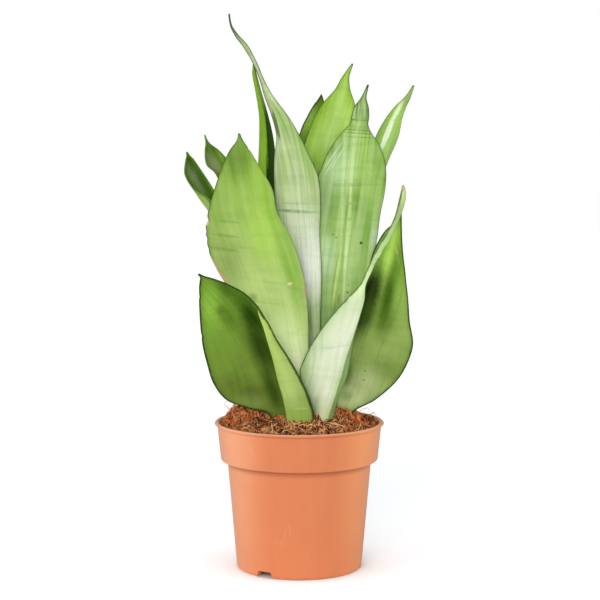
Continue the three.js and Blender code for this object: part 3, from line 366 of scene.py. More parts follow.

# Looks of the leaves. outer and inner: colour at the foot, toward the tip and of the pale
# streaks. streaks, grain and bands: strength of the pale streaks, of the fine dark ones and of
# the cross bands. spacing and pitch: width of a fine streak and height of a band. edge: colour
# of the margin, line: width of the dark line along it, halo_strength: of the darker band beside
# it, partly painted shade between the leaves. far_half: colour and strength of the half past
# the midrib. A patch: x, z, reach in x and z, turn, softness, raggedness, colour and strength.
# Patches lie under the streaks and marks over them, and the marks of the outer side lie on the
# margin as well. Some patches and one inner colour are painted light and shade, noted where
# they stand.
LOOK_BASE = {
    "spacing": 1.3, "pitch": 7.0, "edge": (38, 64, 12), "line": 0.5, "halo_strength": 0.2,
    "patches": (), "marks": (), "inner_patches": (), "inner_marks": (),
}
SILVER_INNER = ((150, 178, 108), (150, 180, 102), (190, 212, 150))
GREEN_INNER = ((122, 156, 58), (120, 156, 48), (150, 182, 84))
LOOKS = {
    "leaf_tall_left": {
        "slot": "leaf_fresh_green",
        "outer": ((216, 234, 158), (132, 168, 58), (196, 220, 134)),
        "inner": GREEN_INNER, "streaks": 0.18, "grain": 0.12, "bands": 0.12, "pitch": 8.0,
        "patches": [
            (-42.5, 291, 9.5, 14, 0, 0.9, 0.3, (82, 122, 22), 0.93),
            (-23, 257.5, 5, 23.5, -17, 0.9, 0.3, (138, 182, 50), 0.75),
            (-25, 235, 8.5, 19.5, -14, 0.9, 0.3, (166, 206, 78), 0.7),
            (-60.5, 247.5, 8.5, 23.5, 15, 0.9, 0.3, (130, 160, 70), 0.8),
            (-51, 218, 11, 18, -25, 0.9, 0.3, (138, 164, 84), 0.8),
            (-31.5, 201.5, 7.5, 14, -20, 0.9, 0.3, (196, 218, 134), 0.7),
            (-5, 212, 6, 34, -14, 0.9, 0.3, (124, 168, 54), 0.85),
            (-9.5, 150, 12.5, 22, -16, 0.9, 0.3, (236, 250, 192), 0.9),
            (0.5, 134, 9.5, 18, 0, 0.9, 0.3, (252, 255, 214), 0.9),
            (-51, 246, 9, 1.0, 2, 0.6, 0.6, (118, 148, 60), 0.5),
            (-52, 236, 9.5, 1.0, 5, 0.6, 0.6, (118, 148, 62), 0.6),
            (-53.5, 226, 10.5, 1.2, 5, 0.6, 0.6, (122, 150, 66), 0.6),
            (-38.5, 228, 6, 0.8, 2, 0.6, 0.6, (140, 170, 80), 0.4),
            (-16, 203.5, 9.5, 1.2, 4, 0.6, 0.6, (146, 180, 88), 0.4),
            (-26, 189, 12.5, 1.0, 4, 0.6, 0.6, (160, 186, 104), 0.4),
            (-33.5, 191, 4, 3, -40, 0.6, 0.4, (128, 152, 76), 0.6),
        ],
        "marks": [
            (-6.5, 203.3, 1.6, 0.8, -10, 0.3, 0.8, (226, 214, 166), 0.9),
            (-5.6, 201.6, 0.5, 1.3, 10, 0.3, 0.8, (190, 160, 110), 0.8),
            (3.4, 197.6, 0.9, 4.5, 0, 0.3, 0.5, (196, 164, 122), 0.85),
            (-65.5, 246, 1.6, 3.2, -8, 0.3, 0.6, (232, 188, 160), 0.9),
            (-66.5, 236, 1.2, 3, 0, 0.3, 0.6, (120, 92, 60), 0.6),
            (-66, 229, 1.2, 2.5, 0, 0.3, 0.6, (222, 166, 130), 0.85),
            (-62.5, 218, 1.3, 9, -32, 0.3, 0.5, (220, 168, 132), 0.9),
            (-55, 206, 1.2, 8, -38, 0.3, 0.5, (216, 166, 128), 0.85),
        ],
    },
    "leaf_tall_centre": {
        "slot": "leaf_silver_green",
        "outer": ((176, 198, 148), (170, 190, 118), (232, 242, 204)),
        "inner": SILVER_INNER, "streaks": 0.45, "grain": 0.32, "bands": 0.13, "spacing": 0.9,
        "edge": (56, 84, 34),
        "patches": [
            (6.5, 217, 9, 26, -4, 0.9, 0.3, (255, 255, 250), 0.97),
            (-4.5, 243.5, 7.5, 17, -8, 0.9, 0.3, (244, 253, 216), 0.9),
            (-6.5, 264, 7, 11.5, -5, 0.9, 0.3, (220, 242, 180), 0.85),
            (2.5, 292.5, 5, 18.5, -22, 0.9, 0.3, (146, 182, 88), 0.85),
            (-10.5, 315, 4, 17, -28, 0.9, 0.3, (120, 162, 30), 0.95),
            (-22.5, 322, 3, 12.5, -6, 0.9, 0.3, (124, 140, 76), 0.9),
            (-19, 336, 4, 8.5, -30, 0.9, 0.3, (204, 220, 164), 0.6),
            (-18, 299.5, 4, 12.5, -4, 0.9, 0.3, (206, 216, 184), 0.7),
            (-9.5, 283, 4, 15.5, -6, 0.9, 0.3, (182, 212, 118), 0.7),
            (10.5, 176, 5.5, 14, 0, 0.9, 0.3, (118, 154, 62), 0.9),
            (-2.5, 252.5, 14, 1.1, 2, 0.6, 0.5, (118, 150, 90), 0.75),
            (0.5, 258, 11.5, 0.7, 0, 0.6, 0.5, (140, 170, 108), 0.45),
            (-30, 345, 6, 14, 25, 0.9, 0.3, (170, 190, 132), 0.6),
            (-46, 378, 3.5, 6, -30, 0.9, 0.3, (96, 122, 56), 0.8),
            (-49, 387, 2, 5, 0, 0.9, 0.3, (96, 92, 60), 0.8),
            (-33, 359.6, 1.6, 1, 40, 0.5, 0.5, (214, 218, 180), 0.5),
        ],
        "marks": [
            (-16.2, 313, 1.2, 10.5, -14, 0.3, 0.3, (78, 112, 22), 0.85),
        ],
    },
    "leaf_tall_right": {
        "slot": "leaf_silver_green",
        "outer": ((144, 180, 98), (156, 194, 92), (206, 228, 160)),
        "inner": SILVER_INNER, "streaks": 0.4, "grain": 0.3, "bands": 0.16, "pitch": 6.0,
        "spacing": 1.0, "edge": (44, 70, 30),
        "patches": [
            (42.5, 325, 10, 9, 0, 0.6, 0.3, (80, 122, 30), 0.97),
            (47, 343, 4, 9, 0, 0.7, 0.3, (104, 140, 66), 0.8),
            (38.6, 322, 0.8, 5.5, 10, 0.7, 0.3, (196, 220, 166), 0.8),
            (41.6, 324, 0.6, 6, 8, 0.7, 0.3, (176, 208, 136), 0.7),
            (45.8, 324, 1.0, 6, 2, 0.7, 0.3, (180, 212, 144), 0.75),
            (30, 297, 8, 11, 30, 0.9, 0.3, (104, 148, 44), 0.9),
            (26.5, 280, 8, 18.5, 22, 0.9, 0.3, (172, 202, 156), 0.65),
            (35.5, 276, 4, 10, 10, 0.9, 0.3, (172, 202, 142), 0.7),
            (56, 291, 5, 21, -8, 0.9, 0.3, (112, 162, 32), 0.95),
            (24, 292, 0.6, 9, 34, 0.7, 0.5, (206, 226, 200), 0.7),
            (27, 290, 0.5, 10, 32, 0.7, 0.5, (196, 220, 186), 0.7),
            (21.5, 284, 0.5, 9, 30, 0.7, 0.5, (196, 220, 186), 0.7),
            (47, 240.5, 6.5, 14, 0, 0.9, 0.3, (118, 166, 70), 0.85),
            (19, 259, 5, 15.5, 0, 0.9, 0.3, (98, 136, 68), 0.9),
            (35, 259, 9, 11, 0, 0.9, 0.3, (96, 142, 34), 0.9),
            (19, 219.5, 5.5, 14, 0, 0.9, 0.3, (196, 224, 176), 0.85),
            (21, 176.5, 7, 10, 0, 0.9, 0.3, (118, 152, 80), 0.7),
            (36, 262, 1.2, 44, 3, 0.9, 0.3, (206, 232, 150), 0.7),
            (30.5, 262, 0.9, 40, 2, 0.9, 0.3, (196, 222, 150), 0.5),
            (53, 233, 2.5, 9, 8, 0.7, 0.3, (196, 210, 184), 0.6),
            (34, 271, 24, 1.2, 0, 0.5, 0.6, (128, 160, 92), 0.55),
            (34, 258, 26, 1.0, 0, 0.5, 0.6, (134, 166, 94), 0.4),
            (30, 247, 26, 1.2, 1, 0.5, 0.6, (130, 162, 90), 0.45),
            (32, 235, 22, 1.0, 1, 0.5, 0.6, (130, 162, 90), 0.14),
            (42, 316.4, 7.5, 0.6, 3, 0.4, 0.5, (96, 134, 56), 0.8),
            (42, 311.4, 9.5, 1.9, 2, 0.7, 0.5, (112, 156, 64), 0.75),
            (42, 309.2, 11, 0.6, 4, 0.4, 0.5, (84, 122, 46), 0.7),
            (42, 307.2, 13, 0.6, 4, 0.4, 0.5, (96, 136, 56), 0.75),
            (42, 304.4, 14, 0.6, 3, 0.4, 0.5, (104, 144, 62), 0.6),
            (32.5, 216, 1.0, 26, 3, 0.6, 0.3, (214, 236, 176), 0.8),
            (26.5, 206, 1.1, 18, 8, 0.5, 0.3, (200, 230, 124), 0.85),
            (24.5, 204, 0.6, 17, 8, 0.5, 0.3, (96, 130, 56), 0.65),
        ],
        "marks": [
            (43.7, 229.9, 1.0, 1.0, 0, 0.3, 0.5, (86, 64, 40), 0.95),
            (23.5, 236.2, 1.0, 0.6, 0, 0.3, 0.7, (126, 148, 96), 0.8),
            (26, 234.1, 0.7, 0.6, 0, 0.3, 0.7, (120, 126, 80), 0.8),
            (34.2, 195, 0.9, 0.8, 0, 0.3, 0.7, (134, 108, 70), 0.85),
            (34.8, 200, 0.6, 0.6, 0, 0.3, 0.7, (140, 120, 80), 0.7),
            (27.8, 190, 0.8, 3.6, 8, 0.3, 0.9, (140, 124, 70), 0.6),
        ],
    },
    "leaf_back_broad": {
        "slot": "leaf_fresh_green",
        "outer": ((148, 186, 76), (142, 186, 48), (190, 216, 128)),
        "inner": GREEN_INNER, "streaks": 0.3, "grain": 0.2, "bands": 0.12,
        "patches": [
            (27, 318, 3, 21.5, 14, 0.9, 0.3, (182, 214, 122), 0.7),
            (12, 301, 3.5, 16, 20, 0.9, 0.3, (170, 208, 106), 0.7),
            (33.5, 315, 3.5, 10.5, 10, 0.9, 0.3, (188, 224, 110), 0.8),
            (20.5, 302.5, 3, 6.5, 10, 0.9, 0.3, (182, 216, 124), 0.7),
            (16, 282.5, 7, 10, 10, 0.9, 0.3, (144, 190, 76), 0.6),
        ],
    },
    "leaf_back_folded": {
        "slot": "leaf_deep_green",
        "outer": ((120, 156, 56), (108, 144, 46), (142, 172, 80)),
        "inner": ((184, 226, 90), (104, 138, 42), (150, 184, 80)),
        "streaks": 0.2, "grain": 0.2, "bands": 0.05, "line": 0.35, "halo_strength": 0.05,
        "inner_patches": [(5.5, 318, 5, 10, 20, 0.9, 0.3, (182, 226, 94), 0.9)],
    },
    "leaf_back_right": {
        "slot": "leaf_silver_green",
        "outer": ((144, 184, 86), (146, 190, 78), (200, 226, 150)),
        "inner": SILVER_INNER, "streaks": 0.3, "grain": 0.3, "bands": 0.05,
        "edge": (92, 124, 56), "line": 0.4, "halo_strength": 0.12,
        "patches": [
            (59.5, 312.5, 2.2, 13, 28, 0.9, 0.3, (128, 166, 68), 0.75),
            (73, 315, 2.5, 11.5, 18, 0.9, 0.3, (168, 220, 84), 0.7),
            (66, 296.5, 3, 10, 18, 0.9, 0.3, (150, 194, 96), 0.6),
            (63, 306.5, 1.8, 12.5, 22, 0.4, 0.3, (244, 250, 232), 0.9),
            (70.5, 323, 1.4, 9.5, 30, 0.45, 0.3, (226, 240, 200), 0.9),
            (77.5, 333, 2.2, 6.5, 30, 0.9, 0.3, (112, 152, 60), 0.85),
        ],
    },
    "leaf_back_channel": {
        "slot": "leaf_fresh_green",
        "outer": ((132, 174, 48), (120, 158, 40), (150, 184, 80)),
        # Painted shadow: the inner side is nearly black for the shade inside the channel; its first
        # patch lays a bright green strip along it
        "inner": ((12, 32, 0), (48, 76, 18), (30, 58, 6)),
        "streaks": 0.1, "grain": 0.2, "bands": 0.1, "edge": (92, 132, 34), "line": 0.12,
        "halo_strength": 0.03,
        "inner_patches": [
            (-25.8, 310, 1.9, 23, -6, 0.4, 0.3, (160, 212, 58), 0.9),
            (-29, 336, 2.5, 13, -10, 0.9, 0.3, (150, 180, 92), 0.9),
        ],
    },
    "leaf_far_left_upper": {
        "slot": "leaf_mid_green",
        "outer": ((150, 184, 82), (128, 160, 54), (170, 196, 108)),
        "inner": ((110, 140, 56), (90, 126, 30), (134, 156, 80)),
        "streaks": 0.25, "grain": 0.4, "bands": 0.1, "edge": (86, 132, 34), "line": 0.4,
        "inner_patches": [
            (-61.5, 284, 3, 8, -30, 0.9, 0.3, (148, 150, 116), 0.85),
            (-63.5, 297.5, 2.5, 6.5, -25, 0.9, 0.3, (58, 90, 22), 0.8),
            (-56, 290.5, 2.1, 7, -30, 0.9, 0.3, (120, 164, 52), 0.8),
        ],
    },
    "leaf_far_left_lower": {
        "slot": "leaf_mid_green",
        "outer": ((244, 255, 190), (140, 172, 74), (220, 240, 170)),
        "inner": ((84, 114, 40), (76, 108, 28), (110, 136, 58)),
        "streaks": 0.2, "grain": 0.35, "bands": 0.1, "edge": (84, 130, 34), "line": 0.4,
        "halo_strength": 0.12,
        "inner_patches": [
            (-75.5, 275.5, 3, 13, -30, 0.9, 0.3, (122, 134, 90), 0.85),
            (-67.5, 271, 3, 14.5, -30, 0.9, 0.3, (54, 88, 16), 0.85),
            (-78, 288, 2.1, 6.5, -10, 0.9, 0.3, (54, 86, 20), 0.8),
        ],
    },
    "leaf_front_left_strip": {
        "slot": "leaf_fresh_green",
        "outer": ((146, 174, 84), (150, 182, 78), (184, 206, 118)),
        "inner": GREEN_INNER, "streaks": 0.25, "grain": 0.25, "bands": 0.12, "line": 0.45,
        "halo_strength": 0.12,
        "patches": [
            (-25, 179.5, 5.5, 12.5, -25, 0.9, 0.3, (196, 228, 104), 0.9),
            (-16, 160.5, 6, 17.5, -25, 0.9, 0.3, (178, 204, 104), 0.85),
            (-6.5, 133.5, 8, 17.5, -10, 0.9, 0.3, (184, 206, 122), 0.7),
            (2, 111, 9.5, 7, 0, 0.9, 0.3, (150, 180, 80), 0.7),
        ],
        "marks": [
            (-27.5, 189, 1.0, 3.4, -20, 0.3, 0.5, (70, 92, 50), 0.7),
            (1, 116.7, 5, 0.8, 0, 0.3, 0.7, (196, 214, 150), 0.3),
        ],
    },
    "leaf_front_right_silver": {
        "slot": "leaf_silver_green",
        "outer": ((176, 204, 136), (190, 208, 146), (238, 242, 224)),
        "inner": ((140, 170, 90), (136, 168, 80), (176, 200, 126)),
        "streaks": 0.3, "grain": 0.25, "bands": 0.12, "edge": (84, 112, 48), "line": 0.4,
        "halo_strength": 0.08, "far_half": ((122, 160, 76), 0.85),
        "patches": [
            (28, 163, 11, 27.5, 28, 0.9, 0.3, (220, 226, 198), 0.88),
            (17, 131, 8, 13.5, 0, 0.9, 0.3, (232, 238, 206), 0.85),
            (15, 112.5, 8, 5.5, 0, 0.9, 0.3, (214, 222, 168), 0.7),
            (41.5, 203.5, 4, 9.5, 35, 0.9, 0.3, (224, 254, 180), 0.9),
            (58.5, 232.5, 5, 16.5, 35, 0.9, 0.3, (146, 188, 88), 0.85),
            (68.5, 252, 4, 9.5, 20, 0.9, 0.3, (128, 168, 62), 0.85),
            (71.5, 265, 2.5, 5.5, 0, 0.9, 0.3, (184, 214, 110), 0.85),
            (24, 160, 10, 0.8, -10, 0.5, 0.5, (190, 204, 168), 0.5),
        ],
        "marks": [
            (71, 270.5, 3, 2.6, 0, 0.3, 0.3, (186, 164, 132), 0.7),
            (72.5, 260, 1.5, 9, 0, 0.3, 0.3, (148, 140, 96), 0.5),
        ],
    },
    "leaf_low_right": {
        "slot": "leaf_deep_green",
        "outer": ((150, 180, 80), (150, 184, 76), (180, 204, 114)),
        "inner": ((156, 176, 104), (142, 182, 66), (120, 150, 62)),
        "streaks": 0.1, "grain": 0.25, "bands": 0.15,
        "inner_patches": [
            # Painted light and shade: the first three patches light the upper face of the cup, the
            # next four paint the shadow of the silver leaf in it
            (64, 236.5, 3, 11, 0, 0.9, 0.3, (190, 232, 94), 0.85),
            (67.5, 218.5, 3, 14, 0, 0.9, 0.3, (100, 144, 42), 0.8),
            (60, 218.5, 3, 12.5, 8, 0.9, 0.3, (186, 230, 100), 0.8),
            (59, 179.5, 6, 12.5, 10, 0.9, 0.3, (86, 116, 30), 0.8),
            (61.5, 197, 3.5, 16.5, 10, 0.8, 0.3, (58, 94, 10), 0.95),
            (49, 197.5, 7, 18, 18, 0.6, 0.3, (14, 30, 0), 0.99),
            (45, 179.5, 6, 14, 20, 0.8, 0.3, (44, 72, 6), 0.95),
            (64.5, 142, 9.5, 7, 20, 0.9, 0.3, (112, 136, 60), 0.7),
            (34.5, 122, 8.5, 7, 0, 0.9, 0.3, (240, 252, 190), 0.9),
            (46.5, 130.5, 6, 7, 20, 0.9, 0.3, (200, 212, 150), 0.7),
            (72, 150, 6, 12, 20, 0.9, 0.3, (122, 150, 62), 0.6),
            (43, 131, 7, 11, 35, 0.9, 0.3, (190, 202, 144), 0.7),
            (34, 138, 3, 9, 10, 0.8, 0.5, (88, 126, 44), 0.7),
            (33, 122, 5, 4, 0, 0.7, 0.5, (130, 164, 80), 0.6),
        ],
        "inner_marks": [
            (46.3, 140.6, 0.8, 0.6, 0, 0.3, 0.7, (104, 108, 50), 0.6),
            (45.5, 134, 1.0, 0.7, 0, 0.3, 0.7, (120, 120, 60), 0.6),
            (47, 146, 0.6, 0.6, 0, 0.3, 0.7, (110, 112, 56), 0.6),
            (66.3, 228, 0.8, 4, -20, 0.3, 0.6, (182, 176, 110), 0.7),
            (67.5, 222, 0.5, 4.5, -15, 0.3, 0.6, (168, 160, 100), 0.5),
        ],
    },
    "leaf_low_left": {
        "slot": "leaf_deep_green",
        "outer": ((150, 180, 80), (146, 180, 72), (180, 204, 114)),
        "inner": ((116, 138, 56), (128, 168, 56), (110, 142, 56)),
        "streaks": 0.1, "grain": 0.25, "bands": 0.14,
        "inner_patches": [
            # Painted light: the lit left side of the cupped face
            (-61.5, 187, 5.5, 18, 0, 0.9, 0.3, (150, 198, 74), 0.8),
            (-57.5, 158, 8, 13.5, -20, 0.9, 0.3, (116, 152, 50), 0.6),
            # Painted shade: this patch and the next seven paint the shade of the fold, from near
            # the tip down to the foot beside the front strip
            (-50, 201, 8, 5, 65, 0.9, 0.3, (74, 108, 26), 0.8),
            (-40, 192, 6, 6, 60, 0.9, 0.3, (74, 108, 26), 0.7),
            (-48, 180, 5, 9.5, -30, 0.9, 0.3, (86, 120, 30), 0.7),
            (-33, 180, 6, 13.5, -30, 0.8, 0.3, (34, 62, 0), 0.97),
            (-27, 158.5, 7.5, 20, -25, 0.8, 0.3, (34, 60, 0), 0.95),
            (-18.5, 127, 4.5, 15, -20, 0.8, 0.3, (46, 72, 8), 0.92),
            (-34, 124.5, 9.5, 5, -10, 0.9, 0.3, (72, 84, 20), 0.85),
            (-46.5, 131.5, 8, 7, -25, 0.9, 0.3, (96, 116, 38), 0.7),
            (-42, 200, 9, 4, 70, 0.9, 0.3, (100, 140, 38), 0.7),
            (-36, 120, 10, 6, -10, 0.9, 0.3, (134, 156, 76), 0.6),
            (-48, 163, 0.8, 26, -28, 0.8, 0.4, (140, 172, 84), 0.14),
            (-44, 160, 0.5, 22, -28, 0.8, 0.4, (144, 176, 88), 0.3),
            (-54.5, 185, 2.2, 3, -30, 0.7, 0.5, (84, 116, 36), 0.5),
        ],
        "inner_marks": [
            (-37, 154, 1.4, 1, 0, 0.3, 0.7, (128, 132, 60), 0.4),
            (-69, 196, 1.2, 9, 0, 0.3, 0.5, (66, 84, 32), 0.5),
        ],
    },
}


def deselect():
    bpy.ops.object.select_all(action="DESELECT")


def pick(piece):
    """Make one piece the active one, alone"""
    deselect()
    piece.select_set(True)
    bpy.context.view_layer.objects.active = piece


def new_piece(name):
    """Name the primitive that was just added"""
    piece = bpy.context.active_object
    piece.name = name
    piece.data.name = name
    return piece


def apply_modifier(piece, modifier):
    pick(piece)
    bpy.ops.object.modifier_apply(modifier=modifier.name)


def smooth(piece, degrees):
    pick(piece)
    bpy.ops.object.shade_smooth_by_angle(angle=math.radians(degrees))


def settle(piece):
    """Put a piece's place and turn into its mesh"""
    pick(piece)
    bpy.ops.object.transform_apply(location=True, rotation=True, scale=True)


def join(pieces, name):
    deselect()
    for piece in pieces:
        piece.select_set(True)
    bpy.context.view_layer.objects.active = pieces[0]
    bpy.ops.object.join()
    return new_piece(name)


def copy_of(piece):
    """Copy of a piece with a mesh of its own"""
    pick(piece)
    bpy.ops.object.duplicate(linked=False)
    return bpy.context.active_object


def hand_over(piece, slot, *nodes):
    """Tie a finished piece to the plant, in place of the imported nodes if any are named"""
    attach(piece, "root")
    if nodes:
        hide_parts(*nodes)


# Points nearer than WELD become one. SEED_PLANE, in metres, is merged to the first point.
WELD = 0.01
SEED_PLANE = 0.01


def spun(name, profile, steps):
    """Closed shape turned round the pot's axis from radius and height pairs"""
    deselect()
    bpy.ops.mesh.primitive_plane_add(size=SEED_PLANE, location=(0, 0, 0))
    piece = new_piece(name)
    bpy.ops.object.mode_set(mode="EDIT")
    bpy.ops.mesh.select_mode(type="VERT")
    bpy.ops.mesh.select_all(action="SELECT")
    bpy.ops.mesh.merge(type="CENTER")
    radius, height = profile[0]
    bpy.ops.transform.translate(value=(radius * MM, 0, height * MM))
    for (radius, height), (next_radius, next_height) in zip(profile, profile[1:]):
        step = ((next_radius - radius) * MM, 0, (next_height - height) * MM)
        bpy.ops.mesh.extrude_vertices_move(TRANSFORM_OT_translate={"value": step})
    bpy.ops.mesh.select_all(action="SELECT")
    bpy.ops.mesh.spin(steps=steps, angle=2 * math.pi, center=(0, 0, 0), axis=(0, 0, 1))
    bpy.ops.mesh.select_all(action="SELECT")
    bpy.ops.mesh.remove_doubles(threshold=WELD * MM)
    bpy.ops.mesh.normals_make_consistent(inside=False)
    bpy.ops.object.mode_set(mode="OBJECT")
    return piece


# Pot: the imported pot's own outline, as radius and height
POT_OUTLINE = [
    (0, 0), (26, 0), (27.5, 3.8), (39.6, 3.8), (40.2, 0), (43.2, 0), (44.1, 0.9), (44.6, 2.4),
    (50.9, 75.8), (51.4, 76.5), (52.1, 77), (54.5, 77), (55.45, 77.5), (55.7, 78.2),
    (58.1, 101.5), (59.2, 102), (60, 102.8), (60, 103.2), (59.2, 104), (57.3, 104),
    (56.5, 103.2), (54.1, 79.2), (53.5, 78.6), (49.9, 78.6), (49.3, 78), (43, 6.2),
    (42.4, 5.6), (28.1, 5.6), (25.4, 1.8), (0, 1.8),
]
POT_STEPS = 192
CORNER_ROUND = 0.35
CORNER_ANGLE = 28
POT_SMOOTHING = 40
NOTCH_COUNT = 3
NOTCH_FIRST_ANGLE = math.radians(237)
NOTCH_WIDTH = 14
NOTCH_TOP_WIDTH = 10
NOTCH_HEIGHT = 4.6
NOTCH_REACH = 14
FACES_UP = 0.9
CHANNEL_MIDDLE = 33.85
DRAIN_COUNT = 6
DRAIN_RADIUS = 3.5
DRAIN_LENGTH = 11
DRAIN_SIDES = 32
CHANNEL_RISE = 3.8


def notch_cutter():
    """Block for one notch in the foot ring, narrower toward its top, toward +X"""
    deselect()
    bpy.ops.mesh.primitive_cube_add(size=1, location=(0, 0, 0))
    cutter = new_piece("notch_cutter")
    cutter.scale = (NOTCH_REACH * MM, NOTCH_WIDTH * MM, NOTCH_HEIGHT * MM)
    cutter.location = (
        (CHANNEL_MIDDLE + NOTCH_REACH / 2) * MM, 0, -NOTCH_HEIGHT / 2 * MM,
    )
    settle(cutter)
    bpy.ops.object.mode_set(mode="EDIT")
    bpy.ops.mesh.select_mode(type="FACE")
    bpy.ops.mesh.select_all(action="DESELECT")
    bpy.ops.object.mode_set(mode="OBJECT")
    for face in cutter.data.polygons:
        face.select = face.normal.z > FACES_UP
    bpy.ops.object.mode_set(mode="EDIT")
    rise = (0, 0, NOTCH_HEIGHT * MM)
    bpy.ops.mesh.extrude_region_move(TRANSFORM_OT_translate={"value": rise})
    bpy.ops.transform.resize(value=(1, NOTCH_TOP_WIDTH / NOTCH_WIDTH, 1))
    bpy.ops.object.mode_set(mode="OBJECT")
    return cutter


def drain_cutter():
    """Rod for one drain hole through the raised channel, toward +X"""
    deselect()
    bpy.ops.mesh.primitive_cylinder_add(
        vertices=DRAIN_SIDES, radius=DRAIN_RADIUS * MM, depth=DRAIN_LENGTH * MM,
        location=(CHANNEL_MIDDLE * MM, 0, CHANNEL_RISE * MM),
    )
    cutter = new_piece("drain_cutter")
    settle(cutter)
    return cutter


def ring_of(piece, count, first_angle):
    """Copies of a piece round the pot's axis, and the piece itself as the first"""
    made = [piece] + [copy_of(piece) for _ in range(count - 1)]
    for k, part in enumerate(made):
        part.rotation_euler.z = first_angle + 2 * math.pi * k / count
        settle(part)
    return made


def make_pot():
    pot = spun("nursery_pot", POT_OUTLINE, POT_STEPS)
    rounding = pot.modifiers.new("rounding", "BEVEL")
    rounding.limit_method = "ANGLE"
    rounding.angle_limit = math.radians(CORNER_ANGLE)
    rounding.width = CORNER_ROUND * MM
    rounding.segments = 2
    apply_modifier(pot, rounding)
    cutters = ring_of(notch_cutter(), NOTCH_COUNT, NOTCH_FIRST_ANGLE)
    cutters += ring_of(drain_cutter(), DRAIN_COUNT, math.pi / DRAIN_COUNT)
    for cutter in cutters:
        cut = pot.modifiers.new("cut", "BOOLEAN")
        cut.operation = "DIFFERENCE"
        cut.solver = "EXACT"
        cut.object = cutter
        apply_modifier(pot, cut)
        pick(cutter)
        bpy.ops.object.delete()
    smooth(pot, POT_SMOOTHING)
    return pot


# Soil: the packed soil's mounds and waves, then heaps and lumps that are here alone
SOIL_EDGE_LEVEL = 101
SOIL_EDGE_RADIUS = 56.1
SOIL_RINGS = 74
SOIL_STEPS = 216
SOIL_SIDE = [
    (53.8, 79.2), (53.2, 78.9), (49.9, 78.9), (49, 78), (42.7, 6.5), (42.1, 5.9),
    (28.1, 5.9), (25.4, 2.1), (0, 2.1),
]
# A wave: its turn in each millimetre along x and along y, start and height. A mound or a heap:
# centre x and y, half-width in x and in y, height.
SOIL_WAVES = [
    (0.55, 0.29, 0.2, 0.4), (-0.31, 0.62, 1.3, 0.4), (0.93, -0.71, 2.1, 0.3),
    (1.17, 0.86, 0.7, 0.25),
]
MOUNDS = [
    (0, -8, 34, 26, 6.3), (-31, 4, 20, 11, 10), (32, 2, 12, 11, 7), (16, -12, 12, 9, 2.5),
]
HEAPS = [(-44, 2, 9, 12, 3.4), (44, 8, 10, 10, 1.6), (30, -6, 9, 8, 1.5)]
EDGE_RISE = 2.3
EDGE_RISE_START = 40
LUMP_HEIGHT = 2.5
LUMP_LENGTH = 3.2
LUMP_SLICE = 3.7
LUMP_FRACTAL = (0.7, 2.2, 4)
SOIL_SMOOTHING = 80
LEAF_CLEARANCE = 1.6
RIM_CLEARANCE = 0.6

# Crumbs: count, smallest, largest and random seed, then how each is dented and pressed flat
CRUMBS = (700, 0.4, 1.5, 11)
CRUMB_DENTS = 0.5
CRUMB_DENT_SCALE = 1.4
CRUMB_TURN = 6.28
CRUMB_NARROWEST = 0.6
CRUMB_FLATNESS = 0.7
CRUMB_RISE = 0.1
CRUMB_SMOOTHING = 60

# Strands of coir, most of them in small tufts
STRAND_STEPS = 7
STRAND_CURL = 0.28
STRAND_WOBBLE = 0.35
STRAND_LIFT = 0.25
STRAND_WELD = 0.005
STRAND_END = 0.35
STRAND_TAPER = 3
TUFT_SPREAD = 0.9
TUFT_LEAN = 0.25
SPOT_SHARE = 0.5
SPOT_SPREAD = 6

# Where rusty coir gathers, hairs that stand off the soil and straws that lie on it in front
RUST_SPOTS = [(-47, -2), (-44, 6), (38, 4), (46, -4), (28, -30)]
HAIRS = [
    [(-48, -5, 105), (-50, -5, 110), (-49.7, -6, 113.5), (-47, -6, 115)],
    [
        (-45, -5, 108), (-48, -5, 112), (-51, -5, 115), (-53, -5, 117), (-52, -5, 119),
        (-50, -5, 118),
    ],
    [(-43, -5, 108), (-46, -5, 113), (-47.5, -5, 110), (-48, -6, 107)],
    [(46, -2, 105), (49, -3, 109), (52.5, -4, 110.5), (55, -4, 108)],
    [(40, 2, 107), (44, 1, 112), (48, 0, 113.5), (51.5, -1, 111.5)],
    [(50, 0, 105), (51, -1, 109.5), (54, -2, 111.5)],
]
STRAWS = [
    [(17, -22, 106.8), (22, -25, 106.8), (27, -29, 106.4), (31, -34, 105.6)],
    [(19, -24, 107), (24, -28, 106.8), (28, -33, 106)],
    [(22, -18, 107.4), (25, -24, 107), (27, -30, 106.6), (33, -35, 105.6)],
    [(16, -26, 106.8), (21, -31, 106.4), (24, -37, 105.6)],
]

# Kinds of coir: count, most in a tuft, radius, shortest, longest, highest arch, random seed,
# dark and pale colour, spots that it gathers at, and further strands point by point
COIR = {
    "coir_brown": (560, 5, 0.24, 5, 15, 2.0, 21, (98, 54, 28), (255, 188, 128), (), ()),
    "coir_dark": (380, 4, 0.34, 4, 11, 1.4, 22, (26, 13, 6), (84, 48, 27), (), ()),
    "coir_rust": (
        300, 6, 0.24, 6, 15, 2.6, 23, (144, 68, 26), (246, 148, 80), RUST_SPOTS, HAIRS,
    ),
    "coir_straw": (60, 1, 0.26, 9, 24, 2.8, 24, (236, 176, 118), (255, 226, 172), (), STRAWS),
}


def soil_height(x, y):
    """Height of the soil, all in millimetres, with its lumps"""
    z = SOIL_EDGE_LEVEL
    for centre_x, centre_y, half_x, half_y, height in MOUNDS + HEAPS:
        distance = ((x - centre_x) / half_x) ** 2 + ((y - centre_y) / half_y) ** 2
        z += height * math.exp(-distance ** 2)
    rim_share = (math.hypot(x, y) - EDGE_RISE_START) / (SOIL_EDGE_RADIUS - EDGE_RISE_START)
    z += EDGE_RISE * max(0, rim_share) ** 2
    for along_x, along_y, start, height in SOIL_WAVES:
        z += height * math.sin(along_x * x + along_y * y + start)
    place = Vector((x / LUMP_LENGTH, y / LUMP_LENGTH, LUMP_SLICE))
    return z + LUMP_HEIGHT * noise.fractal(place, *LUMP_FRACTAL)


